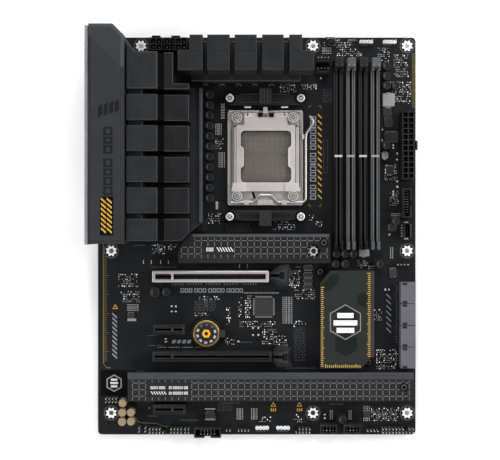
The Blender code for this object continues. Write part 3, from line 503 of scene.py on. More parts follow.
def io_cover():
    """The folded cover over the rear ports, with its creased top, plain bars and striped label."""
    s = span("io_cover")
    s.y1 += 1.4
    wall, strip, drop, corner_x, corner_y = 1.5, 2.4, 1.7, 8.5, 8.6
    outer = [(s.x0, s.y0), (s.x1, s.y0), (s.x1, s.y1 - 31.5), (s.x1, s.y1 - corner_y),
             (s.x1 - corner_x, s.y1), (s.x0, s.y1), (s.x0, s.y1 - 9.0)]
    inner = inset(outer, strip)
    inner[2] = (s.x1 - strip, s.y1 - 31.9)
    inner[6] = (s.x0 + strip, s.y1 - 10.2)
    crease_a, crease_b = Vector(inner[6]), Vector(inner[2])
    across = (crease_b - crease_a).normalized()
    top = []
    for i, p in enumerate(inner):
        away = abs(across.cross(Vector(p) - crease_a)) if i in (3, 4, 5) else 0
        top.append((p[0], p[1], s.h1 - 0.055 * away))
    middle = [(x, y, s.h1 - drop - (s.h1 - top[i][2])) for i, (x, y) in enumerate(outer)]
    foot = [(x, y, s.h0) for x, y in outer]
    mesh = bpy.data.meshes.new("io_cover_shell")
    n = len(outer)
    points = foot + middle + top
    faces, inks = [], []
    for i in range(n):
        j = (i + 1) % n
        if i not in (5, 6):
            faces.append([i, j, n + j, n + i])
            inks.append(0)
        faces.append([n + i, n + j, 2 * n + j, 2 * n + i])
        # The bottom band and the long lower side bands take painted shade; the bands round the upper corner
        # take painted light.
        inks.append(1 if i in (0, 1, 6) else 2)
    # The flat top keeps the charcoal, and the sloping upper facet takes painted light.
    faces.append([2 * n + i for i in (6, 0, 1, 2)])
    faces.append([2 * n + i for i in (2, 3, 4, 5, 6)])
    inks += [0, 2]
    mesh.from_pydata([at(*p) for p in points], [], faces)
    for key in ("cover_charcoal", "cover_painted_shade", "cover_facet_painted_light"):
        mesh.materials.append(FINISH[key])
    mesh.polygons.foreach_set("material_index", inks)
    made = bpy.data.objects.new("io_cover_shell", mesh)
    bpy.context.scene.collection.objects.link(made)
    thick = made.modifiers.new("wall", "SOLIDIFY")
    thick.thickness = wall * MM
    thick.offset = -1
    edge = made.modifiers.new("edge", "BEVEL")
    edge.width = 0.35 * MM
    edge.segments = 2
    edge.angle_limit = math.radians(20)
    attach(made, "board")
    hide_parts("io_cover")
    # A row of tone on tone bars along the middle of the cover.
    bars = Shape()
    middle_x = s.x0 + 14.6
    y = s.y1 - 75
    for run in (6.0, 5.0, 6.0, 0, 6.0, 5.0, 6.0, 6.0, 3.0):
        if run:
            bars.frame(rectangle(middle_x - 3.3, middle_x + 3.3, y - run, y),
                       rectangle(middle_x - 1.7, middle_x + 1.7, y - run + 1.2, y - 1.2), s.h1 - SINK,
                       s.h1 + 0.1)
            y -= run + 1.1
        else:
            y -= 2.4
    for k in range(4):
        x = middle_x - 7.0 + 4.0 * k
        low = s.y1 - 68.5 + 1.2 * k
        bars.slab([(x, low), (x + 2.8, low + 2.2), (x + 2.8, low + 10.0), (x, low + 7.8)], s.h1 - SINK,
                  s.h1 + 0.1)
    piece("io_cover_bars", bars, ["cover_tone"])
    label = Shape()
    lx0, lx1, ly0, ly1 = s.x0 + 8.9, s.x0 + 18.4, s.y0 + 6.2, s.y0 + 34.0
    label.box(lx0, lx1, ly0, ly1, s.h1 - SINK, s.h1 + 0.12)
    for side in (0, 1):
        left = lx0 + 0.7 + side * 4.2
        for k in range(7):
            y = ly0 + 2.3 + 3.55 * k
            label.slab([(left, y + 2.0), (left + 3.6, y - 1.2), (left + 3.6, y + 0.4), (left, y + 3.6)],
                       s.h1 + 0.05, s.h1 + 0.18, ink=1)
    piece("io_cover_stripes", label, ["black_and_painted_shade", "print_amber"])


def rows_of(s):
    """The rows that the left heatsink's fins form, from the board's middle downwards."""
    return [(s.y0 + a, s.y0 + b) for a, b in
            ((0.2, 16.3), (20.3, 38.9), (42.9, 61.4), (65.4, 84.0), (87.7, 106.6))]


def left_heatsink():
    """The left power-stage heatsink: a base, a spine and two columns of blocks."""
    s = span("vrm_heatsink_left")
    base, low = Shape(), s.h1 - 4
    x0, x1, y0, y1 = s.x0, s.x1, s.y0, s.y1
    base.slab([(x0, y0), (x0 + 35.3, y0), (x1, y0 + 13.8), (x1, y0 + 115.1), (x0 + 33.9, y0 + 115.1),
               (x0 + 33.9, y1 - 7.6), (x0 + 6.5, y1 - 7.6), (x0, y1)], s.h0, 12, 0.5, rim=1)
    # A strip along the base's right edge in lighter grey: painted highlight on that side.
    base.box(x1 - 2.7, x1, y0 + 14, y0 + 115, 11.5, 14.2, 0.4, ink=2)
    piece("vrm_left_base", base, ["heatsink_black", "heatsink_bevel_painted_highlight", "heatsink_grey"],
          stands_for=["vrm_heatsink_left"], bevel=0.2)
    spine = Shape().box(x0 + 0.2, x0 + 11.3, y0 + 0.2, y1 - 8, 11.8, low, 0.4, rim=1)
    piece("vrm_left_spine", spine, ["heatsink_black", "heatsink_bevel_painted_highlight"], bevel=0.15)
    blocks = Shape()
    for k, (a, b) in enumerate(rows_of(s)):
        blocks.box(x0, x0 + 22.6, a, b, 11.9, s.h1, 0.4, rim=1)
        right = x0 + 45.2
        if k == 0:
            outline = [(x0 + 27, a), (right - 6.1, a), (right, a + 6), (right, b), (x0 + 27, b)]
        else:
            outline = rectangle(x0 + 27, right, a, b)
        # The right column's blocks take the darker copy: painted shade.
        blocks.slab(outline, 11.9, low, 0.5, ink=2, rim=1)
        # The web between the two columns of the row, in painted shade.
        blocks.box(x0 + 22.4, x0 + 27.2, a + 0.3, b - 0.3, 11.9, low - 1.2, ink=3)
    a, b = y0 + 110.6, y0 + 137.4
    # The last row's web, in painted shade too.
    blocks.box(x0 + 22.4, x0 + 27.2, a + 0.3, b - 0.3, 11.9, low - 1.2, ink=3)
    blocks.slab([(x0, a), (x0 + 22.6, a), (x0 + 22.6, b), (x0 + 6.8, b), (x0, b + 7.8)], 11.9, s.h1, 0.7,
                rim=1)
    blocks.slab([(x0 + 27, a), (x0 + 45.2, a), (x0 + 45.2, a + 4.3), (x0 + 33.7, a + 4.3), (x0 + 33.7, b),
                 (x0 + 27, b)], 11.9, low, 0.5, ink=2, rim=1)
    piece("vrm_left_blocks", blocks,
          ["heatsink_black", "heatsink_bevel_painted_highlight", "heatsink_painted_shade", "heatsink_web_painted_shade"], bevel=0.12)


def top_heatsink():
    """The top power-stage heatsink: a base and a row of stepped blocks."""
    s = span("vrm_heatsink_top")
    foot = 116.8
    base = Shape().box(-49.5, 33.0, foot, s.y1 - 0.2, s.h0, 12, 0.5, rim=1)
    piece("vrm_top_base", base, ["heatsink_cross", "heatsink_bevel_painted_highlight"],
          stands_for=["vrm_heatsink_top"], bevel=0.2)
    blocks = Shape()
    y0, y1, step = 121.3, s.y1 - 0.2, s.y1 - 11.7
    outlines = [[(s.x0, y0), (-39.7, y0), (-39.7, y1), (-49.3, y1), (-49.3, step), (s.x0, step)],
                rectangle(-36.3, -20.0, y0, y1), rectangle(-16.4, -0.3, y0, y1), rectangle(3.7, 19.3, y0, y1),
                [(23.6, y0), (s.x1, y0), (s.x1, step), (32.8, step), (32.8, y1), (23.6, y1)]]
    for outline in outlines:
        blocks.slab(outline, 11.9, s.h1 - 0.5, 0.3, rim=1)
        # The raised upper half, which leaves a fine step line across the block.
        xs = [p[0] for p in outline]
        left, right = min(xs), max(xs)
        if left == s.x0:
            left, right = -49.3, -39.7
        elif right == s.x1:
            left, right = 23.6, 32.8
        blocks.box(left + 0.7, right - 0.7, step + 0.2, y1 - 0.7, s.h1 - 0.6, s.h1 - 0.1, 0.15, rim=1)
    piece("vrm_top_blocks", blocks, ["heatsink_cross", "heatsink_bevel_painted_highlight"], bevel=0.12)


def engraving(name, x0, x1, y0, y1, h, pitch, skip=lambda x, y: False):
    """A grid of fine interlocking strokes on a cover."""
    strokes = Shape()
    columns, rows = int((x1 - x0) / pitch), int((y1 - y0) / pitch)
    for i in range(columns + 1):
        for j in range(rows + 1):
            x, y = x0 + i * pitch, y0 + j * pitch
            gap = 0.13 * pitch
            if not skip(x, y + pitch / 2) and y + gap < y1:
                strokes.box(x - 0.22, x + 0.22, y + gap, min(y1, y + pitch - gap), h - SINK, h + INK)
            if j == 0:
                strokes.box(x - 0.22, x + 0.22, y - pitch * 0.62, y - gap, h - SINK, h + INK)
            if i < columns and not skip(x + pitch / 2, y):
                strokes.box(x + gap, x + pitch - gap, y - 0.22, y + 0.22, h - SINK, h + INK)
    piece(name, strokes, ["engraved_line"])


def screw(shape, x, y, radius, h0, h1, ink=0, dark=1):
    """A pan head screw; its lobed recess is a flat dark lobed mark, painted shade."""
    shape.turned(x, y, [(radius, h0), (radius, h1 - radius * 0.3), (radius * 0.82, h1 - 0.02 * radius),
                        (radius * 0.5, h1, 0.12)], 36, ink, lid=dark)
    shape.turned(x, y, [(radius * 0.5, h1 - 0.3, 0.12), (radius * 0.5, h1 + 0.02, 0.12)], 36, dark)


def m2_covers():
    """The two storage heatsinks with their engraved grids, bright strips, marks and screws."""
    finish("engraved_line", (0.17, 0.175, 0.18), 0.5, 0.2, relief=0.15)
    finish("m2_face", (0.0055, 0.0058, 0.0064), 0.5, 0.1, spread=0.25, stretch=BRUSH_X, relief=0.3, edge_highlight=0.3,
           specular=0.12)
    s = span("m2_heatsink_upper")
    hole_x, hole_y = HOLES[4]
    dress("m2_heatsink_upper", "m2_face", "heatsink_grey")
    trim = Shape()
    trim.box(s.x0 + 11, s.x1 - 1, s.y1 - 2.6, s.y1 - 0.5, s.h1 - SINK, s.h1 + 0.25, 0.15)
    piece("m2_upper_strip", trim, ["heatsink_grey"])
    screw_x, screw_y = s.x1 - 4.9, s.y1 - 6.8

    def upper_gap(x, y):
        near_hole = math.hypot(x - hole_x, y - hole_y) < 7.2
        near_screw = math.hypot(x - screw_x, y - screw_y) < 3.6
        plate = s.x0 + 18 < x < s.x0 + 42 and s.y0 + 6.0 < y < s.y0 + 14.5
        left_cut = (x - s.x0) < 11 and y > s.y1 - 13 + (x - s.x0) * 0.6
        return near_hole or near_screw or plate or left_cut
    engraving("m2_upper_grid", s.x0 + 2.6, s.x1 - 1.4, s.y0 + 7.0, s.y1 - 3.0, s.h1, 5.0, upper_gap)
    marks = Shape()
    for k in range(6):
        x = s.x0 + 29 + 2.05 * k
        marks.slab([(x, s.y0 + 11.9), (x + 1.9, s.y0 + 8.7), (x + 2.8, s.y0 + 8.7), (x + 0.9, s.y0 + 11.9)],
                   s.h1 - SINK, s.h1 + INK)
    for k in range(3):
        x = s.x0 + 21.4 + 1.9 * k
        marks.frame(rectangle(x, x + 1.5, s.y0 + 8.9, s.y0 + 11.7),
                    rectangle(x + 0.5, x + 1.0, s.y0 + 9.4, s.y0 + 11.2), s.h1 - SINK, s.h1 + INK)
    piece("m2_upper_marks", marks, ["print_white"])
    # A near white ring lining the cover's hole: painted light in the place of the bright opening.
    painted_light_ring = Shape()
    painted_light_ring.ring(hole_x, hole_y, 2.2, 2.9, 0.03, s.h1 - 3.0, 40)
    piece("m2_upper_painted_light_ring", painted_light_ring, ["pad_silver_painted_highlight"], bevel=0.08)
    s2 = span("m2_heatsink_lower")
    dress("m2_heatsink_lower", "m2_face", "heatsink_grey")
    # The lighter strip along the top edge: painted highlight on its slope.
    trim = Shape()
    trim.box(s2.x0, s2.x1 - 0.6, s2.y1 - 5.0, s2.y1, s2.h1 - 0.05, s2.h1 + 0.5, 0.35)
    piece("m2_lower_strip", trim, ["heatsink_grey"], bevel=0.1)

    def lower_gap(x, y):
        plate = s2.x0 + 15.5 < x < s2.x0 + 47 and s2.y0 + 3.5 < y < s2.y0 + 14.5
        near_screw = math.hypot(x - (s2.x1 - 7.8), y - (s2.y1 - 11.0)) < 3.4
        return plate or near_screw
    engraving("m2_lower_grid", s2.x0 + 3.6, s2.x1 - 1.6, s2.y0 + 3.9, s2.y1 - 5.8, s2.h1, 4.98, lower_gap)
    marks = Shape()
    for k in range(6):
        x = s2.x0 + 17.2 + 1.95 * k
        marks.slab([(x, s2.y0 + 7.5), (x + 1.6, s2.y0 + 5.2), (x + 2.4, s2.y0 + 5.2), (x + 0.8, s2.y0 + 7.5)],
                   s2.h1 - SINK, s2.h1 + INK)
    for x, y, count in ((17.2, 9.3, 7), (31.2, 9.3, 9), (31.2, 5.2, 9)):
        for k in range(count):
            left, low = s2.x0 + x + 1.62 * k, s2.y0 + y
            if (k + count) % 5:
                marks.frame(rectangle(left, left + 1.3, low, low + 2.1),
                            rectangle(left + 0.42, left + 0.88, low + 0.4, low + 1.7), s2.h1 - SINK,
                            s2.h1 + INK)
            else:
                marks.box(left + 0.3, left + 0.8, low, low + 2.1, s2.h1 - SINK, s2.h1 + INK)
    piece("m2_lower_marks", marks, ["print_white"])
    screws = Shape()
    for x, y, h in ((screw_x, screw_y, s.h1), (s2.x1 - 7.8, s2.y1 - 11.0, s2.h1)):
        screws.turned(x, y, [(3.3, h - SINK), (3.3, h + 0.18), (3.0, h + 0.24)], 32, 1)
        screw(screws, x, y, 2.4, h + 0.1, h + 1.0, 0, 1)
    piece("m2_cover_screws", screws, ["heatsink_grey", "black_and_painted_shade"], bevel=0.05)


def hexagon(x, y, radius, turn=math.pi / 6):
    """A regular hexagon's corners."""
    return [(x + radius * math.cos(turn + math.tau * k / 6), y + radius * math.sin(turn + math.tau * k / 6))
            for k in range(6)]


def chipset():
    """The chipset heatsink's tones, gold ticks, plain mark and screws."""
    finish("chipset_face", (0.0068, 0.0078, 0.008), 0.55, 0.1, spread=0.15, grain=3000, relief=0.3, edge_highlight=0.3,
           specular=0.14)
    finish("chipset_tone", (0.0098, 0.0112, 0.0115), 0.55, 0.1, spread=0.15, grain=3000, relief=0.3,
           specular=0.14)
    finish("chipset_ledge", (0.04, 0.039, 0.045), 0.5, 0.2, spread=0.15, grain=3000, relief=0.3, specular=0.2)
    finish("tick_gold", (0.5, 0.34, 0.06), 0.5, 0.1, spread=0.15, relief=0.15)
    s = span("chipset_heatsink")
    dress("chipset_heatsink", "chipset_face", "heatsink_grey")
    ledge = Shape()
    ledge.box(s.x1 - 2.4, s.x1 - 0.1, s.y0 + 8.6, s.y1 - 0.2, s.h1 - SINK, s.h1 + 0.04)
    piece("chipset_ledge", ledge, ["chipset_ledge"])
    tone = Shape()
    for x, y, r in ((s.x0 + 19.5, s.y0 + 40.0, 9.0), (s.x0 + 19.5, s.y0 + 18.5, 9.5),
                    (s.x0 + 33.0, s.y0 + 52.0, 6.0)):
        tone.slab(hexagon(x, y, r), s.h1 - SINK, s.h1 + 0.04)
    tone.slab([(s.x0 + 0.5, s.y1 - 12.0), (s.x0 + 8.4, s.y1 - 3.0), (s.x0 + 14.0, s.y1 - 3.0),
               (s.x0 + 14.0, s.y1 - 8.5), (s.x0 + 7.0, s.y1 - 15.5), (s.x0 + 0.5, s.y1 - 15.5)],
              s.h1 - SINK, s.h1 + 0.04)
    piece("chipset_tones", tone, ["chipset_tone"])
    ticks = Shape()
    pitch = 1.53
    for k in range(41):
        long = k % 5 == 0
        y = s.y1 - 12.6 - k * pitch
        if y > s.y0 + 1.2:
            ticks.box(s.x0 + 0.5, s.x0 + (3.0 if long else 2.3), y - 0.3, y + 0.3, s.h1 - SINK, s.h1 + INK)
    for k in range(44):
        long = k % 5 == 0
        y = s.y1 - 2.0 - k * pitch
        if y > s.y0 + 9.0:
            ticks.box(s.x1 - (5.6 if long else 4.9), s.x1 - 2.9, y - 0.3, y + 0.3, s.h1 - SINK, s.h1 + INK)
    for k in range(18):
        long = k % 5 == 0
        x = s.x0 + 4.0 + k * pitch
        ticks.box(x - 0.3, x + 0.3, s.y0 + 0.6, s.y0 + (3.2 if long else 2.5), s.h1 - SINK, s.h1 + INK)
    piece("chipset_ticks", ticks, ["tick_gold"])
    mark = Shape()
    cx, cy = s.x0 + 19.0, s.y0 + 35.0
    outer, inner = hexagon(cx, cy, 13.5), hexagon(cx, cy, 12.7)
    mark.frame(outer, inner, s.h1 - SINK, s.h1 + INK, 1)
    for k in range(3):
        y = cy + 5.0 - 5.6 * k
        half = 9.2 - abs(y + 1.1 - cy) * 0.5
        mark.block(cx, y, half, 1.9, s.h1 - SINK, s.h1 + 0.06)
    piece("chipset_mark", mark, ["print_bright", "print_grey"])
    screws = Shape()
    for x, y in ((s.x0 + 0.6, s.y1 - 1.2), (s.x1 - 3.6, s.y0 + 3.4)):
        screws.ring(x, y, 2.6, 3.3, 0.02, 0.14, ink=1)
        screw(screws, x, y, 2.3, 0.0, 3.2, 0, 1)
    piece("chipset_screws", screws, ["backplate_steel", "black_and_painted_shade"], bevel=0.05)


# ------------------------------------------------------------------- socket

def socket():
    """The processor socket: contacts, load plate, rims, screws, lugs and folds."""
    dress("cpu_socket_housing", "contact_bed")
    dress("cpu_socket_frame", "frame_steel")
    dress("cpu_load_lever", "lever_steel")
    dress("cpu_hinge_wire", "lever_steel")
    s = span("cpu_load_plate")
    f = span("cpu_socket_frame")
    cx, cy = f.x, f.y
    # Contact tips: a fine grid in two fields with a seam between them.
    tips = Shape()
    bed, pitch = 1.2, 0.94
    for i in range(40):
        for j in range(42):
            x = cx + (i - 19.5) * pitch
            y = cy + 1.2 + (j - 20.5) * pitch
            if abs(y - cy - 1.2) > 0.6 and not (abs(i - 19.5) > 17 and abs(j - 20.5) > 18):
                tips.block(x, y, 0.26, 0.3, bed - 0.05, bed + 0.35)
    piece("socket_contacts", tips, ["contact_tip"])
    # The load plate, a pressed sheet with a rolled rim, side channels and a shaped window.
    top, sheet = s.h1, 1.3
    y_low, y_high = s.y0 + 0.1, s.y1 - 0.1
    wide, narrow, shoulder = 22.4, 16.5, 84.6
    plate = Shape()
    outline = [(cx - wide, y_low + 4.6), (cx - 17.6, y_low + 4.6), (cx - 17.6, y_low), (cx + 17.6, y_low),
               (cx + 17.6, y_low + 4.6), (cx + wide, y_low + 4.6), (cx + wide, shoulder),
               (cx + narrow, shoulder), (cx + narrow, y_high), (cx + 6.2, y_high), (cx + 6.2, y_high - 3.6),
               (cx - 6.2, y_high - 3.6), (cx - 6.2, y_high), (cx - narrow, y_high), (cx - narrow, shoulder),
               (cx - wide, shoulder)]
    plate.slab(rounded(outline, 0.9, 3), top - sheet, top)
    # The folded side flanges, lower than the plate and parted from it by a groove.
    for side in (-1, 1):
        for near, far, drop in ((22.3, 23.2, 0.65), (23.1, 25.2, 0.15)):
            plate.box(cx + side * near, cx + side * far, y_low + 4.6, shoulder - 1.5, top - sheet, top - drop,
                      0.1)
    opening = Shape()
    radius, window, tab = 3.2, 19.2, 16.8
    low, high, tab_low, tab_high = 40.9, 80.4, 53.4, 67.0
    half = [(cx + window, low), (cx + window, tab_low - 2.0), (cx + tab, tab_low), (cx + tab, tab_high),
            (cx + window, tab_high + 2.0), (cx + window, high)]
    other = [(2 * cx - x, y) for x, y in half[::-1]]
    shape = half + other
    corners = {0, 5, 6, 11}
    arcs = []
    for i, p in enumerate(shape):
        if i in corners:
            before, after = Vector(shape[i - 1]), Vector(shape[(i + 1) % len(shape)])
            corner = Vector(p)
            u, v = (before - corner).normalized(), (after - corner).normalized()
            middle = corner + (u + v) * radius
            for k in range(6):
                turn = math.pi / 2 * k / 5
                arcs.append(tuple(middle - v * (radius * math.cos(turn)) - u * (radius * math.sin(turn))))
        else:
            arcs.append(p)
    opening.slab(arcs, top - sheet - 1, top + 1)
    piece("socket_load_plate", plate, ["socket_steel"], body="load_plate",
          stands_for=["cpu_load_plate"], bevel=0.22, segments=3, cutter=opening)
    # The pressed rim that stands round the window.
    rim = Shape()
    rim.frame(inset(arcs, -1.5), inset(arcs, -0.05), top - 0.05, top + 0.28, chamfer=0.2)
    piece("socket_window_rim", rim, ["socket_steel"], body="load_plate", bevel=0.1)
    screws = Shape()
    for x in (-15.1, 27.6):
        for y in (30.6, 90.3):
            screws.ring(x, y, 3.15, 3.85, f.h1 - 0.02, f.h1 + 0.3, ink=2)
            screws.turned(x, y, [(3.15, f.h1 - 0.01), (3.15, f.h1 + 0.06)], 32, 3)
            screws.turned(x, y, [(2.65, f.h1), (2.65, f.h1 + 0.7), (2.3, f.h1 + 1.05),
                                 (1.3, f.h1 + 1.1, 0.2)], 36, 0)
            # The lobed recess is a flat grey mark: painted shade.
            screws.turned(x, y, [(1.3, f.h1 + 0.9, 0.2), (1.3, f.h1 + 1.12, 0.2)], 36, 3)
            screws.turned(x, y, [(0.7, f.h1 + 1.0), (0.7, f.h1 + 1.16)], 20, 0)
    piece("socket_screws", screws, ["plated_steel", "black_and_painted_shade", "socket_steel",
                                                    "seam_grey"])
    # The lugs of the frame that the hinge wire runs through, and the fill under the plate's lower corners.
    lugs, folds = Shape(), Shape()
    for x in (cx - 13.9, cx + 14.3):
        lugs.box(x - 2.6, x + 2.6, 97.6, 98.9, f.h1 - 0.3, 5.9, 0.3)
        folds.box(x - 2.5, x + 2.5, 91.2, 94.0, top - 0.05, top + 0.45, 0.2)
        folds.box(x - 0.5, x + 0.5, 91.4, 93.8, top + 0.4, top + 0.5, ink=1)
    # The near black and dark brown strips below, laid flat in the grooves beside the plate, along its lower
    # edge, beside the frame's flanges and as patches by the hinge and the lever, are painted shade.
    for side in (-1, 1):
        lugs.box(cx + side * 15.0, cx + side * 26.0, 34.0, 40.5, f.h1 - 1.5, f.h1 - 0.05, ink=0)
        lugs.box(cx + side * 2.4, cx + side * 5.9, 90.8, 93.8, f.h1 - 0.05, f.h1 + 0.04, ink=2)
        folds.box(cx + side * 22.6, cx + side * 23.1, 39.0, 84.0, top - 0.7, top - 0.55, ink=2)
        lugs.box(cx + side * 26.6, cx + side * 27.1, 31.0, 88.0, f.h1 - 0.05, f.h1 + 0.03, ink=1)
    folds.box(cx - 24.7, cx - 24.0, 38.4, 83.0, top - 0.2, top - 0.1, ink=3)
    folds.box(cx - 22.6, cx + 22.6, y_low - 0.05, y_low + 0.3, top - sheet, top - 0.3, ink=2)
    lugs.box(cx + 25.4, cx + 26.1, 37.0, 88.0, f.h1 - 0.05, f.h1 + 0.04, ink=3)
    lugs.box(cx - 26.1, cx - 25.5, 37.0, 88.0, f.h1 - 0.05, f.h1 + 0.04, ink=3)
    lugs.slab([(cx - 11.0, 33.4), (cx - 9.6, 29.2), (cx - 7.6, 28.0), (cx - 8.8, 33.4)], f.h1 - 0.05,
              f.h1 + 0.04, ink=2)
    tones = ["socket_steel", "seam_grey", "black_and_painted_shade", "gap_painted_shade"]
    piece("socket_lugs", lugs, tones, bevel=0.1)
    piece("load_plate_folds", folds, tones, body="load_plate", bevel=0.1)
    # A dark band round the contacts just inside the window's edge: painted shadow of the plate's edge.
    wall = Shape().frame(inset(arcs, -0.7), inset(arcs, 0.5), bed - 0.1, top - sheet - 0.1)
    piece("socket_window_painted_shadow", wall, ["gap_painted_shade"])
    seam = Shape().box(cx - 19.0, cx + 19.0, cy + 0.85, cy + 1.55, bed - 0.05, bed + 0.3)
    piece("socket_seam", seam, ["contact_bed"])


def brackets():
    """The cooler brackets' ribs and their four screws."""
    for name in ("cooler_bracket_upper", "cooler_bracket_lower"):
        dress(name, "bracket_black")
    screws, rings = Shape(), Shape()
    for k in range(1, 5):
        c = span(f"cooler_screw_{k}")
        r = (c.x1 - c.x0) / 2
        # The recess's wall and floor take the dark ink: painted shade inside it.
        screws.turned(c.x, c.y, [(r, c.h1 - 2.3), (r, c.h1 - 0.9), (r * 0.92, c.h1 - 0.2), (r * 0.75, c.h1),
                                 (r * 0.5, c.h1, 0.25), (r * 0.44, c.h1 - 1.1, 0.25)], 48, 0, lid=1, rim=1)
        screws.turned(c.x, c.y, [(r * 0.24, c.h1 - 1.2), (r * 0.24, c.h1 - 0.15), (r * 0.16, c.h1)], 16, 0)
        screws.turned(c.x, c.y, [(2.0, c.h1 - 9.0), (2.0, c.h1 - 2.2)], 20, 0)
        rings.ring(c.x, c.y, r + 0.25, r + 1.25, c.h1 - 2.5, c.h1 - 1.7)
    piece("cooler_screws", screws, ["bright_screw", "black_and_painted_shade"],
          stands_for=[f"cooler_screw_{k}" for k in range(1, 5)], bevel=0.0)
    piece("cooler_screw_seats", rings, ["black_and_painted_shade"], bevel=0.1)
    # Each bracket's arm has two raised edges with a hollow between, and its hook is ribbed.
    ribs = Shape()
    for name, side in (("cooler_bracket_upper", 1), ("cooler_bracket_lower", -1)):
        s = span(name)
        middle = SOCKET_Y + side * 44.6
        for k in range(13):
            x = s.x + (k - 6) * 2.9
            lift = 0.5 - 0.035 * abs(k - 6)
            if abs(k - 6) > 1:
                for edge in (-3.3, 3.0):
                    ribs.box(x - 1.45, x + 1.45, middle + edge, middle + edge + 0.6, s.h1 - 1.6,
                             s.h1 - 0.4 + lift, 0.15, ink=1)
        for k in range(4):
            x = s.x + (k - 1.5) * 2.5
            ribs.box(x - 0.45, x + 0.45, middle - side * 3.0, middle + side * 6.4, s.h1 - 0.3, s.h1 + 0.35,
                     0.15)
    piece("bracket_ribs", ribs, ["bracket_black", "latch_slate"], bevel=0.1)


# --------------------------------------------------------------- connectors

def pin(shape, x, y, h0, h1, size=0.64, ink=1):
    """A square pin."""
    shape.block(x, y, size / 2, size / 2, h0, h1, 0.15, ink)


def power_connector(name, label, columns, rows):
    """A power connector: a block of square cells with pins and a latch ramp."""
    s = span(name)
    pitch = POWER_PITCH
    width, length = columns * pitch, rows * pitch
    cx, cy = s.x, s.y
    body_x = (cx - width / 2 - 0.6, cx + width / 2 + 0.6)
    body_y = (cy - length / 2 - 0.6, cy + length / 2 + 0.6)
    if columns < rows:
        cx = s.x0 + width / 2 + 0.7
        body_x = (s.x0, s.x0 + width + 1.4)
    else:
        cy = s.y0 + length / 2 + 0.7
        body_y = (s.y0, s.y0 + length + 1.4)
    cell = 1.62
    xs, ys = set(body_x), set(body_y)
    centres_x = [cx + (i - (columns - 1) / 2) * pitch for i in range(columns)]
    centres_y = [cy + (j - (rows - 1) / 2) * pitch for j in range(rows)]
    for c in centres_x:
        xs |= {c - cell, c + cell}
    for c in centres_y:
        ys |= {c - cell, c + cell}

    def level(x, y):
        hollow = any(abs(x - c) < cell for c in centres_x) and any(abs(y - c) < cell for c in centres_y)
        return s.h0 + 1.6 if hollow else s.h1
    block = Shape().terrace(xs, ys, level, base=s.h0, floor=1)
    # The latch ramp on the outer side.
    if columns < rows:
        block.box(body_x[1] - 0.1, body_x[1] + 1.7, cy - 3.4, cy + 3.4, s.h0 + 1, s.h1 - 0.6, 0.4)
        block.box(body_x[1] - 0.1, body_x[1] + 2.3, cy - 3.4, cy + 3.4, s.h1 - 3.2, s.h1 - 1.2, 0.3)
    else:
        block.box(cx - 3.2, cx + 3.2, body_y[1] - 0.1, body_y[1] + 1.6, s.h0 + 1, s.h1 - 0.6, 0.4)
    piece(label, block, ["power_plastic", "black_and_painted_shade"], stands_for=[name], bevel=0.22)
    pins = Shape()
    for x in centres_x:
        for y in centres_y:
            pins.block(x, y, 0.45, 0.45, s.h0 + 1.5, s.h1 - (4.0 if rows > 4 else 1.6), 0.2)
    piece(label + "_pins", pins, ["solder"])


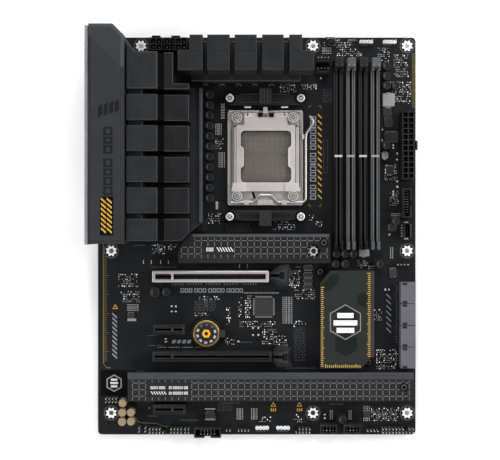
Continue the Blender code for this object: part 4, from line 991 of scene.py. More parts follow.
def dimm_slots():
    """The four memory slots with their contacts, key marks and latches."""
    for k in range(1, 5):
        name = f"dimm_slot_{k}"
        s = span(name)
        tone = "grey_plastic" if k % 2 == 0 else "slot_black"
        cx, top, groove, floor, pocket = s.x, 9.2, 0.95, 3.0, 1.7
        key = 60.6
        latch_top, step = 124.6, 130.6

        def level(x, y):
            dx = abs(x - cx)
            if y > latch_top + 1 and dx < 1.95:
                return pocket
            if dx < groove and y > s.y0 + 4 and not abs(y - key) < 0.75:
                return floor
            if y < s.y0 + 6:
                return s.h1 - 1 if dx > groove else 8.0
            if y > latch_top:
                return s.h1 if y < step else s.h1 - 2
            if 2.0 < dx < 2.4:
                return top - 0.9
            return top
        us = {s.x0, s.x1} | {cx + d * m for d in (groove, 1.95, 2.0, 2.4) for m in (-1, 1)}
        vs = {s.y0, s.y1, s.y0 + 4, s.y0 + 6, key - 0.75, key + 0.75, latch_top, latch_top + 1, step}
        # Cells below the top, that is the groove, its lips and the ends, take the floor ink: painted shade.
        block = Shape().terrace(us, vs, level, base=s.h0, floor=1, sunk=top - 0.5)
        piece(f"memory_slot_{k}", block, [tone, "black_and_painted_shade" if k % 2 else "groove_painted_shade"],
              stands_for=[name], bevel=0.12)
        contacts = Shape()
        count = 144
        for j in range(count):
            y = s.y0 + 9 + (latch_top - s.y0 - 11) * j / (count - 1)
            if abs(y - key) > 1.3:
                for m in (-1, 1):
                    contacts.box(cx + m * 0.78 - 0.2, cx + m * 0.78 + 0.2, y - 0.2, y + 0.2, floor - 0.1,
                                 top - 1.2)
        # The contacts take the darkened gold: painted shade of the groove.
        piece(f"memory_slot_{k}_contacts", contacts, ["gold_in_painted_shade"])
        mark = Shape()
        for m in (-1, 1):
            mark.box(cx + m * groove, cx + m * 2.9, key - 0.8, key + 0.8, top - 0.3, top + 0.04)
        mark.box(cx - groove, cx + groove, key - 0.7, key + 0.7, top - 0.3, top + 0.04)
        piece(f"memory_slot_{k}_mark", mark, ["key_white" if k % 2 else "key_grey"])
        # The latch: its stem stands between the towers and its ridged head lies over them.
        latch = span(f"dimm_latch_{k}")
        head = Shape(lambda y, h, x: (x, y, h))
        pivot_y, pivot_h = latch.y0 + 3.0, latch.h0 + 1.6
        stem = ((-2.2, -1.6), (1.8, -1.6), (2.6, 2.0), (3.4, 9.4), (-2.6, 9.4), (-2.2, 2.0))
        head.slab([(pivot_y + a, pivot_h + b) for a, b in stem], cx - 1.7, cx + 1.7)
        head.place = lambda x, y, h: (x, y, h)
        head.slab([(cx - 3.0, latch.y0 + 1.0), (cx - 1.0, latch.y0 + 1.0), (cx, latch.y0 + 2.2),
                   (cx + 1.0, latch.y0 + 1.0), (cx + 3.0, latch.y0 + 1.0), (cx + 3.0, latch.y1 + 1.0),
                   (cx - 3.0, latch.y1 + 1.0)], s.h1 + 0.25, latch.h1 - 0.7)
        for m in range(3):
            y = latch.y1 + 0.6 - 1.5 * m
            head.box(cx - 2.8, cx + 2.8, y - 0.75, y, latch.h1 - 0.75, latch.h1, 0.2)
        piece(f"memory_latch_{k}", head, ["latch_grey" if k % 2 == 0 else "latch_dark"],
              body=f"dimm_latch_{k}", stands_for=[f"dimm_latch_{k}"], bevel=0.12)


def edge_slot(name, label, key_at):
    """A card slot: a long block with a keyed groove and its spring contacts."""
    s = span(name)
    groove = 1.0
    cy = s.y

    def level(x, y):
        if abs(y - cy) < groove and s.x0 + 1.6 < x < s.x1 - 1.6 and not abs(x - key_at) < 0.85:
            return 3.2
        if 1.9 < abs(y - cy) < 2.25 and s.x0 + 1.2 < x < s.x1 - 1.2:
            return s.h1 - 0.6
        return s.h1
    us = {s.x0, s.x1, s.x0 + 1.2, s.x1 - 1.2, s.x0 + 1.6, s.x1 - 1.6, key_at - 0.85, key_at + 0.85}
    vs = {s.y0, s.y1} | {cy + d * m for d in (groove, 1.9, 2.25) for m in (-1, 1)}
    block = Shape().terrace(us, vs, level, base=s.h0, floor=1)
    # The lower slots' groove floor is darkened: painted shade.
    floor = "slot_floor" if label == "card_slot_upper" else "black_and_painted_shade"
    piece(label, block, ["black_plastic", floor], stands_for=[name], bevel=0.15)
    contacts = Shape()
    x = s.x0 + 2.4
    while x < s.x1 - 2.2:
        if abs(x - key_at) > 1.2:
            for m in (-1, 1):
                contacts.box(x - 0.25, x + 0.25, cy + m * 0.85 - 0.18, cy + m * 0.85 + 0.18, 3.1, s.h1 - 1.8)
        x += 1.0
    # The contacts take the darkened gold: painted shade of the groove.
    piece(label + "_contacts", contacts, ["gold_in_painted_shade"])


def expansion():
    """The card slots, the upper one's steel armour and the release latches."""
    upper, s = span("pcie_x16_slot_upper"), span("pcie_x16_armour")
    for name, label, key in (("x16_slot_upper", "upper", 14.7), ("x16_slot_lower", "lower", 14.5),
                             ("x1_slot_upper", "short_upper", 14.5), ("x1_slot_lower", "short_lower", 14.5)):
        edge_slot("pcie_" + name, "card_slot_" + label, upper.x0 + key)
    shell = Shape()
    wall = 0.9
    shell.frame(rounded(rectangle(s.x0, s.x1, s.y0, s.y1), 0.7, 3),
                rounded(rectangle(s.x0 + wall, s.x1 - wall, s.y0 + wall, s.y1 - wall), 0.3, 3),
                s.h0, s.h1 - 0.4, chamfer=0.35)
    lip = 2.35
    shell.frame(rounded(rectangle(s.x0 + 0.1, s.x1 - 0.1, s.y0 + 0.1, s.y1 - 0.1), 0.6, 3),
                rounded(rectangle(s.x0 + lip, s.x1 - lip, s.y0 + lip - 0.2, s.y1 - lip + 0.2), 0.4, 3),
                s.h1 - 0.8, s.h1, chamfer=0.3)
    shell.box(upper.x0 + 13.8, upper.x0 + 15.3, s.y0 + 0.6, s.y1 - 0.6, s.h1 - 0.7, s.h1 - 0.05, 0.2)
    piece("card_slot_armour", shell, ["armour_steel"], stands_for=["pcie_x16_armour"],
          bevel=0.1)
    # The latches: a pressed lever with cut corners, a finger ramp and a slot for the card's hook.
    for which, tone, slot, shares in (
            ("upper", "slate_plastic", "slate_plastic",
             ((0, 0.29), (0.13, 0.24), (0.42, 0.0), (1.0, 0.02), (1.0, 0.94), (0.91, 1.0), (0.5, 0.96),
              (0, 0.62))),
            ("lower", "latch_slate", "grey_plastic",
             ((0.0, 0.3), (0.25, 0.0), (1.0, 0.02), (0.88, 0.4), (0.88, 0.62), (1.0, 0.98), (0.2, 1.0),
              (0.0, 0.72)))):
        s = span(f"pcie_x16_latch_{which}")
        wide, tall = s.x1 - s.x0, s.y1 - s.y0
        outline = [(s.x0 + a * wide, s.y0 + b * tall) for a, b in shares]
        lever = Shape().slab(outline, s.h0, s.h1 - 1.2, 0.5)
        lever.slab(inset(outline, 1.1), s.h1 - 1.3, s.h1, 0.6)
        hook = Shape().box(s.x0 - 1, s.x0 + wide * 0.62, s.y - 1.1, s.y + 1.1, s.h0 + 2.4, s.h1 + 2)
        hook.box(s.x0 + wide * 0.5, s.x0 + wide * 0.74, s.y - 2.6, s.y + 2.6, s.h1 - 1.6, s.h1 + 2)
        # The hollow under the lever's free end, which leaves room to press it down.
        hook.place = lambda x, h, y: (x, y, h)
        pivot_x, pivot_h = s.x0 + 2.9, s.h0 + 1.9
        hook.slab([(pivot_x + 1.8, s.h0 - 1), (pivot_x + 13, s.h0 - 1), (pivot_x + 13, pivot_h + 4.3),
                   (pivot_x + 3.0, pivot_h + 2.4), (pivot_x + 1.8, pivot_h - 1.9)], s.y0 - 1, s.y1 + 1)
        piece(f"card_latch_{which}", lever, [tone, "black_and_painted_shade"], body=f"pcie_latch_{which}",
              stands_for=[f"pcie_x16_latch_{which}"], bevel=0.15, cutter=hook)


def headers():
    """The two front headers and the four drive ports."""
    s = span("front_usb3_header")
    block, pins = Shape(), Shape()
    wall = 1.0

    def level(x, y):
        inside = s.x0 + wall < x < s.x1 - wall and s.y0 + wall < y < s.y1 - wall
        notch = x > s.x1 - wall and abs(y - s.y) < 2.2
        return s.h0 + 1.5 if inside else s.h1 - 3 if notch else s.h1
    block.terrace([s.x0, s.x1, s.x0 + wall, s.x1 - wall],
                  [s.y0, s.y1, s.y0 + wall, s.y1 - wall, s.y - 2.2, s.y + 2.2], level, base=s.h0, floor=1)
    for j in range(10):
        for i in (-1, 1):
            if not (j == 0 and i == 1):
                pin(pins, s.x + i, s.y + (j - 4.5) * 2, s.h0 + 1.4, s.h1 - 2, 0.5, 0)
    # The inside takes the near black floor ink: painted shade.
    piece("usb_header", block, ["black_plastic", "black_and_painted_shade"],
          stands_for=["front_usb3_header"], bevel=0.15)
    piece("usb_header_pins", pins, ["solder"])
    s = span("front_usbc_header")
    shell = Shape()
    shell.frame(rounded(rectangle(s.x0, s.x1, s.y0, s.y1), 0.5, 3),
                rounded(rectangle(s.x0 + 0.45, s.x1 - 0.45, s.y0 + 0.45, s.y1 - 0.45), 0.3, 3), s.h0, s.h1,
                ink=0)
    # The floor inside and the tongue are near black: painted shade in the opening.
    shell.box(s.x0 + 0.3, s.x1 - 0.3, s.y0 + 0.3, s.y1 - 0.3, s.h0, s.h0 + 1.5, ink=1)
    shell.box(s.x - 0.5, s.x + 0.5, s.y0 + 1.4, s.y1 - 1.4, s.h0 + 1.4, s.h1 - 1, 0.1, ink=1)
    piece("front_port", shell, ["black_plastic", "black_and_painted_shade"],
          stands_for=["front_usbc_header"], bevel=0.06)
    pads = Shape()
    for j in range(5):
        y = s.y0 + 1.3 + (s.y1 - s.y0 - 2.6) * j / 4
        for side in (-1, 1):
            x = s.x + side * ((s.x1 - s.x0) / 2 + 0.9)
            pads.block(x, y, 0.7, 0.42, 0.01, 0.35, 0.1)
    for y in (s.y0 - 0.9, s.y1 + 0.9):
        pads.block(s.x, y, 1.6, 0.55, 0.01, 0.45, 0.1)
    piece("front_port_pads", pads, ["solder"])
    for k in range(1, 5):
        name = f"sata_port_{k}"
        s = span(name)
        block = Shape(lambda w, y, u: (s.x0 + u, y, w))
        # Seen from the right edge: an opening on each side of the wall, with its tongue.
        depth, wall, deep = 7.5, 1.3, s.x1 - s.x0
        w0, w1 = s.h0, s.h1

        def level(w, y):
            inside = wall < abs(y - s.y) and w0 + 1.6 < w < w1 - 1.2 and s.y0 + 1.2 < y < s.y1 - 1.2
            tongue = w0 + 2.9 < w < w0 + 4.1
            return deep if not inside else deep - 1.5 if tongue else deep - depth
        block.terrace([w0, w1, w0 + 1.6, w1 - 1.2, w0 + 2.9, w0 + 4.1],
                      [s.y0, s.y1, s.y0 + 1.2, s.y1 - 1.2, s.y - wall, s.y + wall], level, base=0.0, floor=1)
        # The openings take the near black floor ink: painted shade.
        piece(f"drive_port_{k}", block, ["sata_plastic", "black_and_painted_shade"], stands_for=[name],
              bevel=0.25)
        tabs = Shape()
        for y in (s.y0 + 1.1, s.y1 - 1.1):
            tabs.box(s.x0 + 1.4, s.x0 + 4.8, y - 0.8, y + 0.8, s.h1 - SINK, s.h1 + 0.35, 0.12)
        piece(f"drive_port_{k}_tabs", tabs, ["slate_plastic"], bevel=0.05)


def power():
    """The three power connectors."""
    power_connector("atx_power_24pin", "main_power", 2, 12)
    power_connector("cpu_power_8pin", "cpu_power_a", 4, 2)
    power_connector("cpu_power_4pin", "cpu_power_b", 2, 2)


def battery():
    """The coin cell with its printed ring."""
    s = span("battery_cell")
    r = (s.x1 - s.x0) / 2
    h = s.h1
    cell = Shape()
    cell.turned(s.x, s.y, [(r - 0.6, s.h0), (r, s.h0 + 0.4), (r, h - 0.35), (r - 0.4, h)], 64, 0, lid=0)
    cell.turned(s.x, s.y, [(r - 0.9, h - 0.1), (r - 0.9, h + 0.06)], 64, 1)
    for k in range(10):
        a = math.tau * (k + 0.4) / 10
        u, v = (math.cos(a), math.sin(a)), (-math.sin(a), math.cos(a))
        inner, outer, half = r * 0.6, r * 0.76, r * 0.115
        tone = 4 if k in (1, 2, 3) else 2
        cell.slab([(s.x + u[0] * d + v[0] * w, s.y + u[1] * d + v[1] * w)
                   for d, w in ((inner, -half), (outer, -half), (outer, half), (inner, half))],
                  h + 0.04, h + 0.1, ink=tone)
    cell.slab(hexagon(s.x, s.y, r * 0.34, 0), h + 0.04, h + 0.1, ink=3)
    cell.slab(hexagon(s.x, s.y, r * 0.16, 0), h + 0.08, h + 0.13, ink=1)
    cell.ring(s.x, s.y, r * 0.83, r * 0.86, h + 0.04, h + 0.09, 64, ink=5)
    piece("coin_cell", cell,
          ["cell_gold", "cell_black", "hatch_grey", "print_orange", "print_faint", "print_olive"],
          stands_for=["battery_cell"])
    dress("battery_holder", "black_plastic")


def processor_chip():
    """The interface chip's leads."""
    s = span("super_io_chip")
    dress("super_io_chip", "chip_black")
    leads = Shape()
    count, reach = 32, 1.3
    for k in range(count):
        d = (k - (count - 1) / 2) * (s.x1 - s.x0 - 1.4) / (count - 1)
        for side in (-1, 1):
            x = s.x + side * ((s.x1 - s.x0) / 2 + reach / 2)
            leads.box(x - reach / 2, x + reach / 2, s.y + d - 0.12, s.y + d + 0.12, 0.02, 0.3)
            y = s.y + side * ((s.y1 - s.y0) / 2 + reach / 2)
            leads.box(s.x + d - 0.12, s.x + d + 0.12, y - reach / 2, y + reach / 2, 0.02, 0.3)
    piece("controller_leads", leads, ["solder"])


# --------------------------------------------------------------- rear ports

def wide_port(level):
    """One flat USB port: its hollow and its tongue, as half width, low and high level, and depth."""
    return (6.2, level - 2.5, level + 2.5, 9.0), (5.5, level - 0.95, level + 0.95, 1.3)


def port_stack(name, hollows, tongues, contacts):
    """A rear port block: hollows and tongues by half width, levels and depth."""
    s = span(name)
    deep = s.x1 - s.x0
    block = Shape(lambda y, h, d: (s.x1 - d, y, h))
    lines_y, lines_h = {s.y0, s.y1}, {s.h0, s.h1}
    for half, low, high, _ in hollows + tongues:
        lines_y |= {s.y - half, s.y + half}
        lines_h |= {low, high}

    def level(y, h):
        for half, low, high, depth in tongues + hollows:
            if abs(y - s.y) < half and low < h < high:
                return deep - depth
        return deep
    # The hollows and their tongues take the near black floor ink: painted shade.
    block.terrace(lines_y, lines_h, level, floor=1, sunk=deep - 0.1)
    piece(name.replace("port_stack", "sockets"), block, ["shield_steel", "black_and_painted_shade"],
          stands_for=[name], bevel=0.12)
    for half, low, high, depth in tongues:
        count = max(4, int(half * 1.3))
        for k in range(count):
            y = s.y + (k - (count - 1) / 2) * half * 1.7 / count
            contacts.box(s.x0 + depth + 0.3, s.x0 + depth + 4.0, y - 0.25, y + 0.25, low - 0.12, low + 0.05)


def rear():
    """The rear ports, the shield with its windows and vents, and the jacks' rings."""
    for name, tone in (("jack_pink", (0.42, 0.12, 0.15)), ("jack_green", (0.09, 0.3, 0.1)),
                       ("jack_blue", (0.09, 0.2, 0.38)), ("jack_orange", (0.5, 0.19, 0.03))):
        finish(name, tone, 0.45, spread=0.08, grain=3000, relief=0.2, specular=0.3, edge_highlight=0.3)
    for name in ("audio_jack_block", "bios_switch", "bios_button"):
        dress(name, "black_plastic")
    contacts = Shape()
    upper, lower = wide_port(11.9), wide_port(4.4)
    for name in ("usb_port_stack_1", "usb_port_stack_2"):
        port_stack(name, [upper[0], lower[0]], [upper[1], lower[1]], contacts)
    port_stack("usbc_port_stack", [upper[0], (4.4, 2.8, 5.6, 8.0)], [upper[1], (3.3, 3.9, 4.5, 1.2)],
               contacts)
    port_stack("video_port_stack", [(7.4, 19.5, 24.7, 8.0), (7.0, 6.0, 11.0, 8.0)],
               [(5.6, 21.8, 22.8, 1.2), (6.0, 8.2, 9.2, 1.2)], contacts)
    port_stack("lan_port_stack", [upper[0], lower[0], (6.0, 18.6, 27.2, 12.0), (2.6, 27.1, 28.4, 7.0)],
               [upper[1], lower[1]], contacts)
    lan = span("lan_port_stack")
    for k in range(8):
        y = lan.y + (k - 3.5) * 1.1
        contacts.slab([(lan.x0 + 3.0, y - 0.2), (lan.x0 + 9.0, y - 0.2), (lan.x0 + 9.0, y + 0.2),
                       (lan.x0 + 3.0, y + 0.2)], 19.6, 20.0)
    piece("port_contacts", contacts, ["gold_plating"])
    # The shield: a plate with a window for each port, a bore for each jack and vents, and folded rims.
    s = span("io_shield")
    audio = span("audio_jack_block")
    plate_thickness = 1.0

    def outward(y, h, d):
        return s.x0 + plate_thickness - d, y, h
    plate, holes, trim = Shape(outward), Shape(outward), Shape(outward)
    plate.box(s.y0, s.y1, s.h0, s.h1, 0, plate_thickness)
    for name in PORTS:
        port = span(name)
        window = rectangle(port.y0 + 0.8, port.y1 - 0.8, 0.8, port.h1 - 0.6)
        holes.slab(window, -1, 2)
        trim.frame(inset(window, -1.5), inset(window, -0.3), 0.95, 1.4, chamfer=0.3)
    switch = span("bios_switch")
    holes.box(switch.y - 2.4, switch.y + 2.4, 2.4, 7.2, -1, 2)
    rings = Shape(lambda y, h, d: (audio.x0 - d, y, h))
    for row, level in enumerate((6.0, 17.2, 28.4)):
        for column, dy in enumerate((-6.5, 6.5)):
            holes.turned(audio.y + dy, level, [(3.6, -1), (3.6, 2)], 24)
            rings.ring(audio.y + dy, level, 1.9, 3.4, -0.05, 0.9, 28, ink=2 * row + column)
            trim.ring(audio.y + dy, level, 3.9, 4.7, 0.95, 1.3, 32)
    for row in range(5):
        for column in range(9):
            y = 60.5 + 6.6 * column + 3.3 * (row % 2)
            holes.box(y - 2.1, y + 2.1, 20.5 + 3.4 * row, 21.9 + 3.4 * row, -1, 2)
    piece("io_shield_plate", plate, ["shield_steel"], stands_for=["io_shield"], cutter=holes)
    outer = rectangle(s.y0, s.y1, s.h0, s.h1)
    trim.frame(outer, inset(outer, 1.0), s.x0 + plate_thickness - s.x1, 0.05)
    for y in (s.y0 + 2.4, s.y1 - 2.4, 122.0, 129.4):
        trim.box(y - 0.5, y + 0.5, 12.0, 36.0, 0.9, 1.35, 0.3)
    piece("io_shield_trim", trim, ["shield_steel"], bevel=0.08)
    piece("audio_jack_rings", rings,
          ["jack_pink", "jack_orange", "jack_green", "cover_tone", "jack_blue", "grey_plastic"], bevel=0.1)


def underside():
    """Cut pin tails with their solder, small parts, and the backplate's bosses and ribs."""
    tails = Shape()
    low = -THICKNESS

    def tail(x, y, wide=0.55, drop=1.3):
        tails.turned(x, y, [(wide, low + 0.02), (wide * 0.6, low - drop * 0.45), (wide * 0.32, low - drop)],
                     8)

    def rows(xs, ys, **size):
        for x in xs:
            for y in ys:
                tail(x, y, **size)

    def steps(first, last, count):
        return [first + (last - first) * k / (count - 1) for k in range(count)]
    for k in range(1, 5):
        s = span(f"dimm_slot_{k}")
        rows((s.x - 1.9, s.x + 1.9), steps(s.y0 + 8, 121.0, 66), wide=0.4)
    for name in ("pcie_x16_slot_upper", "pcie_x16_slot_lower", "pcie_x1_slot_upper", "pcie_x1_slot_lower"):
        s = span(name)
        rows(steps(s.x0 + 3, s.x1 - 3, int((s.x1 - s.x0) / 2)), (s.y - 2.0, s.y + 2.0), wide=0.4)
    for name, columns, count in (("atx_power_24pin", 2, 12), ("cpu_power_8pin", 4, 2),
                                 ("cpu_power_4pin", 2, 2)):
        s = span(name)
        rows(steps(s.x0 + 2.8, s.x0 + 2.8 + POWER_PITCH * (columns - 1), columns),
             steps(s.y0 + 2.8, s.y0 + 2.8 + POWER_PITCH * (count - 1), count), wide=0.85)
    for name in PORTS:
        s = span(name)
        rows(steps(s.x0 + 8, s.x1 - 2, 3), steps(s.y0 + 3, s.y1 - 3, 5), wide=0.45)
        rows((s.x0 + 5, s.x1 - 5), (s.y0 + 0.5, s.y1 - 0.5), wide=1.0)
    s = span("audio_jack_block")
    rows(steps(s.x0 + 5, s.x1 - 2, 4), steps(s.y0 + 3, s.y1 - 3, 5), wide=0.6)
    for x, y in CANS + AUDIO_CANS + CAN_COLUMN:
        rows((x - 1.2, x + 1.2), (y,), wide=0.6)
    for x0, count in ((-81.5, 5), (-65.2, 4), (30.0, 5), (95.8, 10), (-42.5, 5), (50.6, 4), (68.4, 4)):
        rows(steps(x0, x0 + PIN_PITCH * (count - 1), count), (HEADER_ROW, HEADER_ROW + 2.5))
    s = span("front_usb3_header")
    rows((s.x - 1, s.x + 1), steps(s.y - 9, s.y + 9, 10), wide=0.5)
    piece("pin_tails", tails, ["solder"])
    plate = span("cooler_backplate")
    bosses, parts = Shape(), Shape()
    for k in range(1, 5):
        c = span(f"cooler_screw_{k}")
        bosses.ring(c.x, c.y, 1.9, 3.4, plate.h0 - 0.5, plate.h0 + 0.05, 32)
        bosses.ring(c.x, c.y, 1.5, 1.95, plate.h0 - 0.8, plate.h0 + 0.05, 24, 1)
    for side in (-1, 1):
        bosses.box(plate.x - 13, plate.x + 13, plate.y + side * 24.0, plate.y + side * 25.4,
                   plate.h0 - 0.35, plate.h0 + 0.05)
        bosses.box(plate.x - 9, plate.x + 9, plate.y + side * 29.0, plate.y + side * 30.2,
                   plate.h0 - 0.35, plate.h0 + 0.05)
    piece("backplate_bosses", bosses, ["backplate_steel", "solder"], bevel=0.1)
    dice = random.Random(11)

    def ceramic(x, y, half, wide, drop):
        parts.block(x, y, half, wide, low - drop, low + 0.01)
        for side in (-1, 1):
            parts.box(x + side * (half - 0.05), x + side * (half + 0.2), y - wide - 0.01, y + wide + 0.01,
                      low - drop - 0.02, low + 0.01, ink=1)
    for i in range(9):
        for j in range(9):
            if dice.random() < 0.8:
                ceramic(plate.x + (i - 4) * 1.7, plate.y + (j - 4) * 1.7, 0.55, 0.35, 0.55)
    for _ in range(150):
        ceramic(dice.uniform(-95, 50), dice.uniform(-140, -25), 0.5, 0.3, 0.5)
    piece("underside_parts", parts, ["ceramic_brown", "solder"])


# --------------------------------------------------------------- the board

def board():
    """The board, its mounting pads, and the pieces that keep their CAD shape."""
    dress("pcb", "solder_mask")
    dress("cooler_backplate", "backplate_steel")
    for name in ("m2_socket_1", "m2_socket_2", "m2_latch_1", "m2_latch_2"):
        dress(name, "black_plastic")
    dress("chipset_chip", "chip_black")
    pads = Shape()
    for x, y in HOLES:
        for h0, h1 in ((0.0, 0.06), (-THICKNESS - 0.06, -THICKNESS)):
            pads.ring(x, y, HOLE_RADIUS - 0.1, 3.3, h0 - 0.01, h1 + 0.01, 40, 0)
            for k in range(8):
                a = math.tau * (k + 0.5) / 8
                pads.turned(x + 3.5 * math.cos(a), y + 3.5 * math.sin(a),
                            [(0.78, h0 - 0.01), (0.78, h1 + 0.02)], 12, 0)
        pads.ring(x, y, HOLE_RADIUS - 0.1, HOLE_RADIUS + 0.05, -THICKNESS - 0.05, 0.05, 40, 0)
        pads.ring(x, y, 5.3, 5.55, -0.01, 0.04, 48, 1)
    # The pads are drawn near white: painted highlight.
    piece("hole_pads", pads, ["pad_silver_painted_highlight", "print_grey"])


def traces():
    """Bundles of copper tracks under the mask, each a ribbon with 45 degree bends."""
    ribbons = Shape()

    def bundle(path, count, pitch, side, width=0.32):
        corners = [Vector(p) for p in path]
        for k in range(count):
            shifted = [c + Vector(side) * (k * pitch) for c in corners]
            for a, b in zip(shifted, shifted[1:]):
                along = (b - a).normalized()
                across = Vector((-along.y, along.x)) * (width / 2)
                ribbons.slab([tuple(a - across), tuple(b - across), tuple(b + across), tuple(a + across)],
                             -0.02, 0.025)
    for path, count, pitch, side in (
            ([(50.5, 30), (54, 33.5), (58, 33.5)], 34, 1.9, (0, 1)),
            ([(-22, -21.5), (-22, -25), (-26, -29), (-26, -37)], 9, 0.9, (-1, 0)),
            ([(20, 20), (20, 6), (26, 0), (26, -2)], 16, 0.8, (1, 0)),
            ([(-24, 8), (-24, -3)], 22, 0.8, (1, 0)),
            ([(-108, -8), (-108, -58), (-105, -61), (-105, -98)], 8, 0.75, (1, 0)),
            ([(-60, -37), (-60, -41), (-64, -45), (-64, -64)], 14, 0.8, (1, 0)),
            ([(-38, -46), (-20, -46), (-16, -50), (-3, -50)], 6, 0.8, (0, 1)),
            ([(12.5, -42), (18, -42), (26, -50), (26, -86), (20, -92)], 10, 0.75, (1, 0)),
            ([(-74, -78), (-50, -78), (-44, -84), (-10, -84)], 7, 0.7, (0, -1)),
            ([(-90, -140), (-70, -140), (-62, -132), (-30, -132)], 6, 0.8, (0, -1)),
            ([(90, -8), (94, -12), (94, -46), (90.5, -50), (90.5, -86)], 9, 0.7, (1, 0)),
            ([(94.5, 20), (100, 20), (106, 26), (106, 60)], 8, 0.75, (1, 0)),
            ([(14, -105), (14, -125), (20, -131), (60, -131)], 9, 0.75, (0, -1))):
        bundle(path, count, pitch, side)
    piece("copper_tracks", ribbons, ["traces"])


# Areas crowded with small resistors, capacitors and via holes: low corner, high corner.
CROWDED = [(51.5, 146.1, 76.9, 151.6), (61.5, 138.0, 71.0, 145.4), (71.5, 138.0, 81.0, 144.2),
           (93.0, 132.7, 102.2, 145.0), (105.2, 121.9, 116.7, 139.0), (102.2, 101.2, 118.4, 119.6),
           (17.8, 110.4, 30.1, 115.8), (34.0, 112.3, 46.9, 116.0), (98.3, 42.9, 107.5, 54.4),
           (102.2, 23.0, 108.8, 34.5), (45.2, 6.9, 51.2, 10.7), (40.0, 11.5, 43.9, 16.9),
           (-32.0, 66.7, -25.1, 75.9), (-37.4, 9.2, -28.2, 17.6), (12.4, 4.6, 30.1, 11.5),
           (-80.4, -13.8, -69.6, -6.9), (-68.1, -10.7, -60.3, -6.1), (-106.4, -39.1, -91.3, -27.9),
           (-104.6, -50.8, -89.6, -42.2), (-47.7, -61.6, -37.4, -58.7), (-44.3, -49.1, -29.0, -45.2),
           (-14.0, -62.4, -11.5, -46.0), (-9.0, -62.9, -4.6, -46.0), (24.7, -39.9, 33.1, -23.0),
           (29.3, -48.5, 44.6, -41.7), (-12.9, -70.0, 14.0, -64.4), (4.0, -83.4, 15.2, -71.3),
           (28.2, -69.8, 37.7, -65.0), (77.6, -25.0, 85.3, -17.9), (85.7, -25.3, 89.7, -22.0),
           (89.9, -64.8, 96.8, -55.7), (91.7, -102.2, 108.1, -87.4), (87.6, -142.2, 109.3, -132.2),
           (1.7, -143.1, 11.7, -138.6), (28.3, -143.1, 35.1, -136.5), (-24.4, -83.6, -17.0, -77.5),
           (-23.6, -68.3, -19.4, -55.2), (14.7, -85.4, 23.9, -76.7)]
# Neat banks of larger parts, and areas with no more than faint marks.
BANKS = [(-32.0, 77.5, -25.9, 85.9), (-29.5, 52.5, -24.9, 65.2), (102.9, 15.0, 109.8, 17.3),
         (102.2, -17.4, 105.2, -8.9), (19.6, -67.5, 26.5, -46.0), (55.9, -141.1, 59.5, -133.4),
         (70.3, -141.1, 73.6, -133.4), (81.7, -142.2, 86.6, -130.4), (50.0, 139.6, 57.7, 145.7),
         (-99.6, -57.5, -90.5, -52.9), (-15.6, -141.0, -10.8, -131.6), (-4.6, -141.0, 0.2, -131.6)]
FAINT = [(-30.4, -134.6, -18.4, -129.4), (50.0, 102.8, 58.4, 113.5), (-45.1, 4.6, -37.4, 12.3),
         (-24.4, 3.1, -4.4, 9.2), (-48.1, -57.5, -31.4, -49.5), (28.3, -95.9, 37.7, -70.6),
         (106.0, -82.1, 108.6, -37.6)]
# Small black parts with leads: middle, width and length.
SMALL_CHIPS = [(100.2, 95.1, 7, 7), (101.0, 87.4, 7, 6), (103.3, 76.2, 11, 7), (102.2, 50.6, 6, 6),
               (104.5, -28.0, 6, 6), (39.3, -24.5, 8, 3), (39.3, -30.0, 8, 3), (39.3, -34.5, 8, 2.6),
               (39.3, -39.0, 8, 2.6), (-96.5, -61.0, 5.6, 4.0), (-35.9, -137.3, 7.5, 4.0), (104.0, 6.6, 5, 6),
               (-39.0, -51.6, 3.4, 3.4), (84.2, -137.0, 4.6, 4.6)]
DOTS = [(49.2, 121.4), (96.4, 81.5), (96.3, 73.2), (104.8, 69.8), (104.8, 67.5), (107.9, 63.4), (107.9, 58.7),
        (107.9, 42.0), (107.9, 37.9), (104.8, 34.1), (104.8, 31.8), (101.9, 6.7), (101.9, 1.1),
        (-65.4, -54.1), (-62.3, -54.1), (-65.4, -58.1), (-62.3, -58.1), (-2.9, -70.8), (1.2, -70.8),
        (-2.9, -76.2), (1.2, -76.2), (-14.2, -81.1), (98.7, -41.2), (101.5, -41.2), (-69.7, -79.1),
        (-69.7, -81.3), (52.3, -137.3), (52.3, -140.0)]
CANS = [(98.7, 129.4), (98.7, 121.8), (98.7, 114.6), (105.8, 114.6), (98.6, 69.0), (60.4, -13.6),
        (66.9, -13.6), (73.4, -13.6), (60.1, -21.4), (67.0, -21.4), (93.6, -21.4), (-69.3, -42.7),
        (65.1, -139.5), (105.6, 11.5)]
AUDIO_CANS = [(-102.0, -126.9), (-102.3, -134.2), (-95.7, -134.1), (-102.5, -141.2), (-95.7, -140.9)]

CAN_COLUMN = [(-36.2, 107.6 - 7.87 * k) for k in range(11)]


